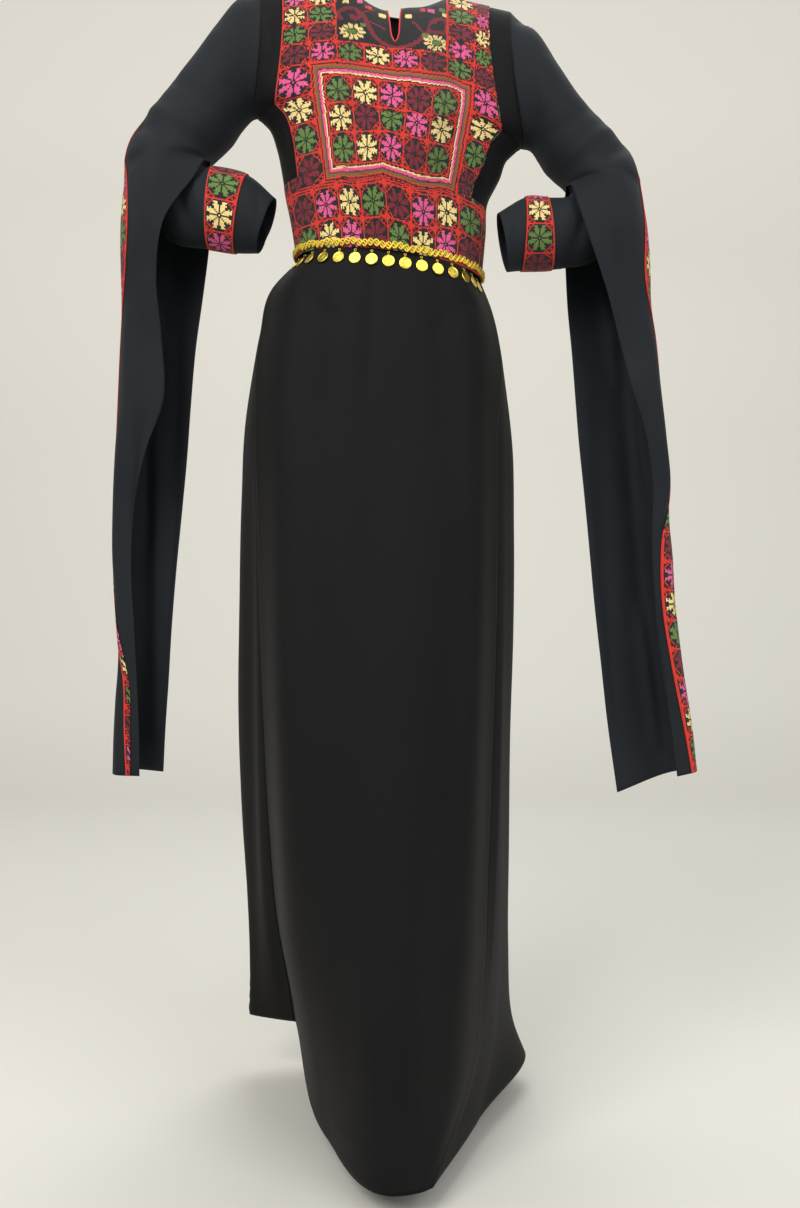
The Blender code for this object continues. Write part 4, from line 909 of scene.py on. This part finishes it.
FOREARM_CREASES = {
    "left": (((-0.29, -0.25), (-0.262, -0.33), 0.008, -0.0045),
             ((-0.262, -0.24), (-0.24, -0.335), 0.008, 0.0035),
             ((-0.175, -0.275), (-0.165, -0.345), 0.006, -0.0025)),
    "right": (((0.268, -0.285), (0.24, -0.365), 0.008, -0.0045),
              ((0.242, -0.275), (0.218, -0.365), 0.008, 0.0035),
              ((0.168, -0.29), (0.164, -0.37), 0.006, -0.0025)),
}


def crepe_piece(part, cloth, flat_cloth, inside, material=BLACK_CREPE, **patch):
    """A piece of crepe on a grid, with a thin wall, on the dress in place of its part. The second grid, the
    flat cloth, is not used.
    """
    piece = new_piece("crepe_" + part, [{"points": cloth, "inside": inside, **patch}], material, "dress",
                      [part], CLOTH_SHOWN_WALL)


def stitched_piece(name, part, grid, uv, chart, inside, wall, **patch):
    """A piece of stitched cloth on a grid, from its chart."""
    patch = {**embroidered(grid, uv, chart), "inside": inside, **patch}
    piece = new_piece("stitched_" + name, [patch], CROSS_STITCH, "dress", [part], wall)


def creased(grid, inside, creases):
    """The grid moved along its normals by the creases, read in x and z."""
    return grid + normals_of(grid, inside) * soft_lines(grid[..., 0], grid[..., 2], creases)[..., None]


# Bodice
front_across = share_columns((0, 0.015, PANEL_SIDE_SHARE, NECK_LEFT_AT, *SLIT_EDGES, NECK_RIGHT_AT,
                              1 - PANEL_SIDE_SHARE, 0.985, 1), (3, 10, 16, 34, 1, 34, 16, 10, 3))
up_rows = np.concatenate([np.linspace(0, SLIT_BOTTOM, 90)[:-1], np.linspace(SLIT_BOTTOM, 1, 24)])
front = bodice_points(front_across, up_rows, True)
open_faces = slit_faces(front_across, up_rows)
back_across = share_columns((0, 0.02, NECK_LEFT_AT, NECK_RIGHT_AT, 0.98, 1), (3, 24, 40, 24, 3))
back = bodice_points(back_across, up_rows, False)
# Creases start at this share of the width beside the panel, and are full after a share of the front's
CREASE_START = 0.8
CREASE_FADE = 0.02
past_panel = np.abs(front_across - 0.5) - (0.5 - PANEL_SIDE_SHARE * CREASE_START)
beside_panel = np.clip(past_panel / CREASE_FADE, 0, 1)[None, :, None]
front_cloth = front + (creased(front, body_axis(front), BODICE_CREASES) - front) * beside_panel
crepe_piece("bodice_front", front_cloth, front, body_axis(front), left_out=open_faces)
crepe_piece("bodice_back", creased(back, body_axis(back), BODICE_CREASES), back, body_axis(back))

# Skirt
SKIRT_LEVELS = 210
# Creases fade over a share of the half width at the side seams, and a sixtieth of the height at the waist
SEAM_FADE = 0.06
WAIST_FADE = 60
for part_name, columns, creases in (("front", 124, SKIRT_FRONT_CREASES), ("back", 162, SKIRT_BACK_CREASES)):
    grid = skirt_points(part_name, columns, SKIRT_LEVELS)
    side = np.clip((1 - np.abs(np.linspace(-1, 1, columns))) / SEAM_FADE, 0, 1)
    held_edge = side[None, :] * np.clip(np.linspace(0, WAIST_FADE, SKIRT_LEVELS), 0, 1)[:, None]
    lifted = creased(grid, body_axis(grid), creases)
    grid = grid + (lifted - grid) * held_edge[..., None]
    crepe_piece("skirt_" + part_name, grid, grid, body_axis(grid))

# Chest panel and waist band
RAISED = SEAM_GAP + TRIM_WALL


def raised_bodice(across, up):
    """The bodice front's points, moved out along its normals by the trim's height."""
    grid = bodice_points(across, up, True)
    return grid + normals_of(grid, body_axis(grid)) * RAISED


def lengths_up(grid):
    """Distance up each column of a grid, from its first row."""
    steps = np.linalg.norm(np.diff(grid, axis=0), axis=-1)
    return np.concatenate([np.zeros((1, grid.shape[1])), np.cumsum(steps, axis=0)])


SQUARE_TOP = 0.1545
UPPER_CELL = 0.0295
BAND_CELL = 0.042
BAND_BORDER = 0.0065
# The middle of the band's first star and the step to the next, as shares across the front
FIRST_STAR = 0.089
STAR_STEP = 0.117
# Where the square starts above the band's seam, along the panel in eighths of its width
SQUARE_START = ((0, -0.02), (1.45, -0.018), (2.35, -0.017), (3.1, -0.0065), (3.95, 0.003), (4.75, -0.003),
                (5.5, -0.008), (6.2, -0.01), (7.1, -0.0065), (8, -0.006))
# The square's left and right sides, as height z and place x, and on up to the shoulders
SQUARE_LEFT = ((-0.3, -0.08), (-0.142, -0.103), (-0.02, -0.112))
SQUARE_RIGHT = ((-0.305, 0.083), (-0.163, 0.109), (-0.02, 0.116))


def bodice_stitches(grid, across, from_seam):
    """Stitch numbers across and up, from the cloth's points, shares across, and metres up from the seam."""
    eighth = 8 * (across - PANEL_SIDE_SHARE) / (1 - 2 * PANEL_SIDE_SHARE)
    start = np.interp(eighth, *np.array(SQUARE_START).T)
    above = from_seam - start
    square = above / (SQUARE_TOP - start) * 4
    upper = 4 + (from_seam - SQUARE_TOP) / UPPER_CELL
    lower = 2 + (above + BAND_BORDER) / BAND_CELL - BAND_LOWER
    in_band = (above < 0) | (eighth < 0) | (eighth > 8)
    cells_up = np.where(in_band, lower, np.where(from_seam < SQUARE_TOP, square, upper))
    x = grid[..., 0]
    left, right = (np.interp(grid[..., 2], *np.array(side).T) for side in (SQUARE_LEFT, SQUARE_RIGHT))
    inner = 1 + 6 * (x - left) / (right - left)
    outer_left = (x - x[:, :1]) / (left - x[:, :1])
    outer_right = 8 - (x[:, -1:] - x) / (x[:, -1:] - right)
    beside = np.where(x < left, outer_left, np.where(x > right, outer_right, inner))
    cells_across = np.where(in_band, (across - FIRST_STAR) / STAR_STEP + 0.5, beside)
    return np.stack([cells_across, cells_up], axis=-1) * CELL_STITCHES


panel_across = share_columns((PANEL_SIDE_SHARE, *SLIT_EDGES, 1 - PANEL_SIDE_SHARE), (88, 1, 84))
panel_up = np.concatenate([np.linspace(BAND_TOP_SHARE + 0.0003, SLIT_BOTTOM, 150)[:-1],
                           np.linspace(SLIT_BOTTOM, 1, 60)])
panel = raised_bodice(panel_across, panel_up)
panel_uv = bodice_stitches(panel, parted(panel_across, panel_up)[0], lengths_up(panel))
stitched_piece("chest_panel", "chest_panel", panel, panel_uv, bodice_threads, body_axis(panel),
               PANEL_SHOWN_WALL, left_out=slit_faces(panel_across, panel_up))

band_across = share_columns((0.006, 0.994), (190,))
band = raised_bodice(band_across, np.linspace(0.001, BAND_TOP_SHARE - 0.0003, 60))
rise = lengths_up(band)
band_uv = bodice_stitches(band, np.broadcast_to(band_across, rise.shape), rise - rise[-1:])
stitched_piece("waist_band", "waist_band", band, band_uv, bodice_threads, body_axis(band), PANEL_SHOWN_WALL)

# Sleeves, strips, forearm sleeves and cuff bands
ROWS_PER_RING = 12
SLEEVE_COLUMNS = (36, 18, 36)
STRIP_ROWS = 500
# Columns without creases beside the strip and at the free edges, and how far the armhole's edge is turned in
STRIP_MARGIN = 3
EDGE_COLUMNS = 4
ARMHOLE_TURN_IN = 0.1
STRIP_LETTERS = chart_letters("MPCG" * 8)
# A strip cell's width and height, and where a strip's stars start, in cells
STRIP_CELL = (0.0405, 0.04)
STRIP_START = 2
CUFF_CELLS = 8
CUFF_STARS = {"left": "MGCPMGCP", "right": "PCGMPCGM"}
# More stitches than any band has, for a band without end borders
ENDLESS = 10**6
FOREARM_COLUMNS = 97
# Rings of the forearm sleeve near which creases fade: the cuff's middle and reach, and the elbow's reach
CUFF_MIDDLE, CUFF_REACH, ELBOW_REACH = 5.5, 0.9, 2.5
for name, shoulder, armpit, tube, wing, strip, forearm in (
        ("left", SHOULDER_LEFT, ARMPIT_LEFT, SLEEVE_TUBE_LEFT, WING_LEFT, STRIP_LEFT, FOREARM_LEFT),
        ("right", SHOULDER_RIGHT, ARMPIT_RIGHT, SLEEVE_TUBE_RIGHT, WING_RIGHT, STRIP_RIGHT, FOREARM_RIGHT)):
    sleeve = sleeve_points(shoulder, armpit, tube, wing, strip, SLEEVE_COLUMNS, ROWS_PER_RING)
    inside = ring_middles(sleeve)
    normals = normals_of(sleeve, inside)
    height = soft_lines(sleeve[..., 0], sleeve[..., 2], SLEEVE_CREASES[name])
    first, last = SLEEVE_COLUMNS[0], SLEEVE_COLUMNS[0] + SLEEVE_COLUMNS[1]
    column = np.arange(sleeve.shape[1])
    free = (column < first - STRIP_MARGIN) | (column > last + STRIP_MARGIN)
    edge = np.clip(np.minimum(column, column[::-1]) / EDGE_COLUMNS, 0, 1)
    cloth = sleeve + normals * (height * free * edge)[..., None]
    cloth[0] = sleeve[0] + (sleeve[1] - sleeve[0]) * ARMHOLE_TURN_IN
    crepe_piece("sleeve_" + name, cloth, sleeve, inside, PAINTED_LIGHT_CREPE,
                wrapped_rows=len(tube) * ROWS_PER_RING + 1)
    top = int(np.argmax(sleeve[:, (first + last) // 2, 2] < STRIP_TOP[name]))
    lifted = (sleeve + normals * RAISED)[top:, first:last + 1]
    lifted = resampled(lifted, STRIP_ROWS, CELL_STITCHES + 1)
    run = lengths_up(lifted)
    breadth = lengths_up(lifted.transpose(1, 0, 2)).T
    cells_across = 1 - (breadth[:, -1:] - breadth) / STRIP_CELL[0]
    strip_uv = np.stack([cells_across, run / STRIP_CELL[1] + STRIP_START], axis=-1) * CELL_STITCHES
    stitched_piece("wing_strip_" + name, "wing_strip_" + name, lifted, strip_uv,
                   lambda i, j: border_threads(i, j, STRIP_LETTERS, CELL_STITCHES, ENDLESS),
                   resampled(inside[top:, :1], STRIP_ROWS), STRIP_SHOWN_WALL)
    arm = forearm_points(sleeve, ROWS_PER_RING, forearm, FOREARM_COLUMNS)
    arm_inside = ring_middles(arm)
    arm_normals = normals_of(arm, arm_inside, wraps=True)
    height = soft_lines(arm[..., 0], arm[..., 2], FOREARM_CREASES[name])
    ring_at = np.arange(len(arm)) / ROWS_PER_RING
    at_cuff = np.clip(1 - np.abs(ring_at - CUFF_MIDDLE) / CUFF_REACH, 0, 1)
    calm = 1 - at_cuff - np.clip(1 - ring_at / ELBOW_REACH, 0, 1)
    arm_cloth = arm + arm_normals * (height * np.clip(calm, 0, 1)[:, None])[..., None]
    crepe_piece("forearm_" + name, arm_cloth, arm, arm_inside, PAINTED_LIGHT_CREPE, wrapped_rows=len(arm))
    low, high = CUFF_BAND_RINGS[0] * ROWS_PER_RING, CUFF_BAND_RINGS[1] * ROWS_PER_RING
    cuff_across, cuff_up = CUFF_CELLS * CELL_STITCHES + 1, CELL_STITCHES + 1
    cuff = resampled((arm + arm_normals * RAISED)[low:high + 1], cuff_up, cuff_across)
    cuff_uv = np.stack(np.meshgrid(np.arange(cuff_across), np.arange(cuff_up)), axis=-1)
    letters = chart_letters([CUFF_STARS[name]])
    stitched_piece("cuff_" + name, "cuff_band_" + name, cuff, cuff_uv,
                   lambda i, j: border_threads(i, j, letters, ENDLESS, CELL_STITCHES),
                   resampled(arm_inside[low:high + 1, :1], cuff_up), STRIP_SHOWN_WALL, wrapped_rows=cuff_up)

# Neck binding
RED_CORD, BLACK_CORD, CORD_SIDES = 0.001, 0.0011, 8
BLACK_BINDING = (0.018, 0.018, 0.019)
TOP_ROWS = np.array([0.996, 1.0])
slit_across = np.array([SLIT_AT - 0.01, *SLIT_EDGES, SLIT_AT + 0.01])
edges = raised_bodice(slit_across, np.linspace(SLIT_BOTTOM, 1, 30))
tops = [raised_bodice(np.linspace(*ends, 60), TOP_ROWS)[1] for ends in
        ((NECK_LEFT_AT, SLIT_EDGES[0]), (SLIT_EDGES[1], NECK_RIGHT_AT))]
neck_path = np.concatenate([tops[0], edges[::-1, 1][1:], edges[1:, 2], tops[1][1:]])
neck_cord = ring_tube(neck_path, RED_CORD, CORD_SIDES, False)
back_edge = bodice_points(np.linspace(NECK_LEFT_AT, NECK_RIGHT_AT, 90), TOP_ROWS, False)[1]
back_cord = ring_tube(back_edge, BLACK_CORD, CORD_SIDES, False)


def plain_thread(name, colour):
    """Twisted cotton binding: one colour, with painted shade in the slanted grooves of its twist a millimetre
    apart.
    """
    material, shader, where = start_finish(name, Roughness=0.7, Sheen_Weight=0.08)
    twist = where.node("ShaderNodeTexWave", {"Vector": where, "Scale": 190.0, "Distortion": 1.5},
                       bands_direction="DIAGONAL")
    dark = [channel * 0.6 for channel in colour]
    # Painted shade: the colour darkens to six tenths where the twist's wave is low, in its grooves
    end_finish(shader, Base_Color=twist.ramp((0.2, *dark), (0.8, *colour)), height=(0.0003, twist))
    return material


new_piece("red_neck_binding", [neck_cord], plain_thread("red_binding", THREADS["red"]), "dress")
new_piece("black_neck_binding", [back_cord], plain_thread("black_binding", BLACK_BINDING), "dress")

# Gold braid: two strands that cross over and under in a chain of loops, and a third that runs through them
BRAID_TURNS = 46
BRAID_HALF_HEIGHT = 0.004
BRAID_DEPTH = 0.0011
BRAID_STRAND = 0.0012
BRAID_SIDES = 6
BRAID_POINTS = 1400
# The braid's middle off the bodice in front, over the waist band, and at the back
FRONT_LIFT, BACK_LIFT = 0.003, 0.0022
HALF_POINTS = 500
halves = []
for front_side, lift in ((True, FRONT_LIFT), (False, BACK_LIFT)):
    shares = np.linspace(0, 1, HALF_POINTS) if front_side else np.linspace(1, 0, HALF_POINTS)
    seam = bodice_points(shares, np.array([0.0, BRAID_TOP_SHARE]), front_side)
    normals = normals_of(seam, body_axis(seam)).mean(axis=0)
    halves.append(np.column_stack([seam.mean(axis=0), normals, np.full(HALF_POINTS, lift)])[:-1])
whole = np.concatenate(halves)
whole[:, 6] = (np.roll(whole[:, 6], 12) + np.roll(whole[:, 6], -12) + whole[:, 6]) / 3
whole = np.concatenate([whole, whole[:1]])
run = np.concatenate([[0.0], np.cumsum(np.linalg.norm(np.diff(whole[:, :3], axis=0), axis=1))])
even = np.linspace(0, run[-1], BRAID_POINTS + 1)[:-1]
whole = np.stack([np.interp(even, run, whole[:, k]) for k in range(7)], axis=-1)
ring, ring_out, ring_lift = whole[:, :3], whole[:, 3:6], whole[:, 6]
phase = 2 * math.pi * BRAID_TURNS * np.arange(BRAID_POINTS) / BRAID_POINTS
sway = 0.0012 * np.sin(phase / 2) + 0.0006 * np.sin(phase / 8.5)
strands = []
for reach, often in ((1.0, 1), (-1.0, 1), (0.35, 2)):
    turn = phase * often
    path = ring + ring_out * (ring_lift + BRAID_DEPTH * reach * np.cos(turn))[:, None]
    path[:, 2] += BRAID_HALF_HEIGHT * reach * np.sin(turn) + sway
    strands.append(ring_tube(path, BRAID_STRAND, BRAID_SIDES, True))
new_piece("gold_braid", strands, GOLD_THREAD, "dress", ["belt_braid"])

# Coins, and the skirt's points that they hang by: columns, and the row below the seam that gives the slope
SEAM_COLUMNS = 19
BELOW_SEAM_ROW = 6
COIN_SECTORS = 36
COIN_RINGS = (0.0, 0.12, 0.24, 0.34, 0.44, 0.54, 0.62, 0.7, 0.76, 0.82, 0.86, 0.9, 0.95, 1.0)
# Links over a coin: how far down, radius, and whether the link is turned edge on
COIN_LINKS = ((-0.0004, 0.0015, False), (-0.0022, 0.0015, True), (-NECK_LENGTH - 0.0001, 0.0012, False))
LINK_WIRE = 0.0003
# Shares of a coin's thickness from its middle plane to its face and to its edge
FACE_SHARE, EDGE_SHARE = 0.36, 0.3


def coin_relief(ring, turn):
    """Height of a coin's face in metres: a rim, a ring of beads, and eight petals round a boss."""
    rim = 0.00028 * np.clip((ring - 0.84) / 0.04, 0, 1)
    beads = 0.00022 * np.exp(-(((ring - 0.74) / 0.06) ** 2)) * (0.5 + 0.5 * np.cos(20 * turn))
    petals = 0.0003 * np.exp(-(((ring - 0.36) / 0.16) ** 2)) * (0.5 + 0.5 * np.cos(8 * turn))
    boss = 0.0003 * np.exp(-((ring / 0.13) ** 2))
    return rim + beads + petals + boss


def coin_patches(origin, along_seam, inward, slope):
    """One coin under its links: a disc, its profile going from face to face over the rim."""
    rings = np.array(COIN_RINGS)
    turn = np.linspace(0, 2 * math.pi, COIN_SECTORS + 1)
    ring, angle = np.meshgrid(rings, turn, indexing="ij")
    face = COIN_THICKNESS * FACE_SHARE + coin_relief(ring, angle)
    face[-1] = COIN_THICKNESS * EDGE_SHARE
    centre = -(NECK_LENGTH + COIN_RADIUS)
    across, up = COIN_RADIUS * ring * np.sin(angle), centre + COIN_RADIUS * ring * np.cos(angle)
    disc = np.concatenate([np.stack([across, -face, up], axis=-1),
                           np.stack([across, face, up], axis=-1)[::-1]])
    patches = [(disc, np.array([0.0, 0.0, centre]))]
    around, over = np.meshgrid(np.linspace(0, 2 * math.pi, 21), np.linspace(0, 2 * math.pi, 7), indexing="ij")
    for drop, radius, turned in COIN_LINKS:
        both = []
        for wire in (LINK_WIRE, 0.0):
            flat = (radius + wire * np.cos(over)) * np.cos(around)
            tall = (radius + wire * np.cos(over)) * np.sin(around) + drop
            thick = wire * np.sin(over)
            both.append(np.stack([thick, flat, tall] if turned else [flat, thick, tall], axis=-1))
        patches.append((both[0], both[1][:, :1]))
    axes = np.array([along_seam, inward, slope])
    made = []
    for number, (points, inside) in enumerate(patches):
        made.append({"points": points @ axes + origin, "inside": inside @ axes + origin,
                     "wrapped_rows": len(points), "wrap_down": number > 0})
    return made


def coin_places(top, below):
    """Where each coin hangs: its axis under the waist seam, level, and its plane along the skirt's slope."""
    lengths = np.concatenate([[0.0], np.cumsum(np.linalg.norm(np.diff(top, axis=0), axis=1))])

    def at(line, length):
        return Vector([np.interp(length, lengths, line[:, k]) for k in range(3)])

    places = []
    for order in range(COIN_COUNT):
        here = lengths[-1] / 2 + (order - (COIN_COUNT - 1) / 2) * COIN_SPACING
        along_seam = at(top, here + COIN_SPACING / 2) - at(top, here - COIN_SPACING / 2)
        along_seam.z = 0.0
        along_seam.normalize()
        slope = at(top, here) - at(below, here)
        slope = (slope - along_seam * slope.dot(along_seam)).normalized()
        inward = slope.cross(along_seam)
        outwards = COIN_OFF_SKIRT + COIN_THICKNESS / 2
        down = (COIN_UNDER_SEAM - inward.z * outwards) / slope.z
        places.append((at(top, here) - slope * down - inward * outwards, along_seam, inward, slope))
    return places


seam_line = skirt_points("front", SEAM_COLUMNS, SKIRT_LEVELS)
for order, place in enumerate(coin_places(seam_line[0], seam_line[BELOW_SEAM_ROW]), start=1):
    node = f"coin_{order:02d}"
    patches = coin_patches(*[np.array(v) for v in place])
    new_piece("gold_" + node, patches, COIN_GOLD, node, [node])

# Studio
BACKDROP = (0.885, 0.866, 0.806)
# Painted shade on the paper, darker towards the floor to offset the lamps' stronger light there: a quarter of
# the height over the floor in metres, and the share of BACKDROP
BACKDROP_PAINTED_SHADE = ((0.0, 0.65), (0.08, 0.73), (0.8, 0.98))
# The paper's run as (y, height): where it starts, its curve, and its upper end
FLOOR_FRONT, WALL_TOP = (-6.0, 0.0), (4.2, 9.0)
CURVE_FROM_Y, CURVE_RADIUS = 2.6, 1.6
HALF_BREADTH = 14


def studio_backdrop():
    """A pale floor that rises behind the dress in a wide curve, swept from left to right, with painted shade
    that darkens it towards the floor.
    """
    turn = np.linspace(0, math.pi / 2, 24)
    curve = [CURVE_FROM_Y + CURVE_RADIUS * np.sin(turn), CURVE_RADIUS - CURVE_RADIUS * np.cos(turn)]
    profile = np.concatenate([[FLOOR_FRONT], np.stack(curve, axis=-1), [WALL_TOP]])
    across = np.linspace(-HALF_BREADTH, HALF_BREADTH, 12)
    grid = np.zeros((len(profile), len(across), 3))
    grid[..., 0] = across
    grid[..., 1] = profile[:, :1]
    grid[..., 2] = profile[:, 1:] + FLOOR_Z
    mesh = surface_mesh("backdrop", [{"points": grid, "inside": np.array([0.0, 30.0, -30.0])}])
    material, shader, where = start_finish("pale_paper", Roughness=0.9)
    mottle = where.node("ShaderNodeTexNoise", {"Vector": where, "Scale": 1.2, "Detail": 2.0})
    # Painted shade: the paper's colour darkens towards the floor, with a faint random mottle
    rise = where.node("ShaderNodeSeparateXYZ", {0: where}, output="Z") * 0.25 - FLOOR_Z * 0.25 + mottle * 0.02
    stops = [(height, *[channel * share for channel in BACKDROP]) for height, share in BACKDROP_PAINTED_SHADE]
    end_finish(shader, Base_Color=rise.ramp(*stops))
    mesh.materials.append(material)
    backdrop = bpy.data.objects.new("backdrop", mesh)
    bpy.context.scene.collection.objects.link(backdrop)


def soft_light(name, place, size, power, colour, aim):
    """A square area light at a place, turned to its aim."""
    light = bpy.data.lights.new(name, "AREA")
    light.energy, light.size, light.color = power, size, colour
    lamp = bpy.data.objects.new(name, light)
    lamp.location = place
    lamp.rotation_euler = (Vector(aim) - Vector(place)).to_track_quat("-Z", "Y").to_euler()
    bpy.context.scene.collection.objects.link(lamp)


WORLD_TONE, WORLD_STRENGTH = (1.0, 0.985, 0.96), 0.68
studio_backdrop()
soft_light("front_left", (-1.4, -2.4, 1.3), 1.8, 88, (1.0, 0.98, 0.95), (0.0, 0.0, -0.2))
soft_light("front_right", (1.9, -2.2, 0.9), 2.0, 44, (0.96, 0.98, 1.0), (0.0, 0.0, -0.3))
soft_light("top_back", (0.3, 1.6, 2.4), 2.4, 60, (1.0, 1.0, 1.0), (0.0, 0.0, -0.7))
bpy.context.scene.view_settings.view_transform = "Standard"
world = bpy.data.worlds.new("studio")
world.use_nodes = True
world.node_tree.nodes["Background"].inputs["Color"].default_value = (*WORLD_TONE, 1.0)
world.node_tree.nodes["Background"].inputs["Strength"].default_value = WORLD_STRENGTH
bpy.context.scene.world = world

camera = bpy.data.cameras.new("camera")
camera.sensor_fit = "VERTICAL"
camera.sensor_height = SENSOR_MM
camera.lens = LENS_MM
viewer = bpy.data.objects.new("camera", camera)
viewer.location = CAMERA_AT
viewer.rotation_euler = (math.pi / 2, 0.0, 0.0)
bpy.context.scene.collection.objects.link(viewer)
bpy.context.scene.camera = viewer
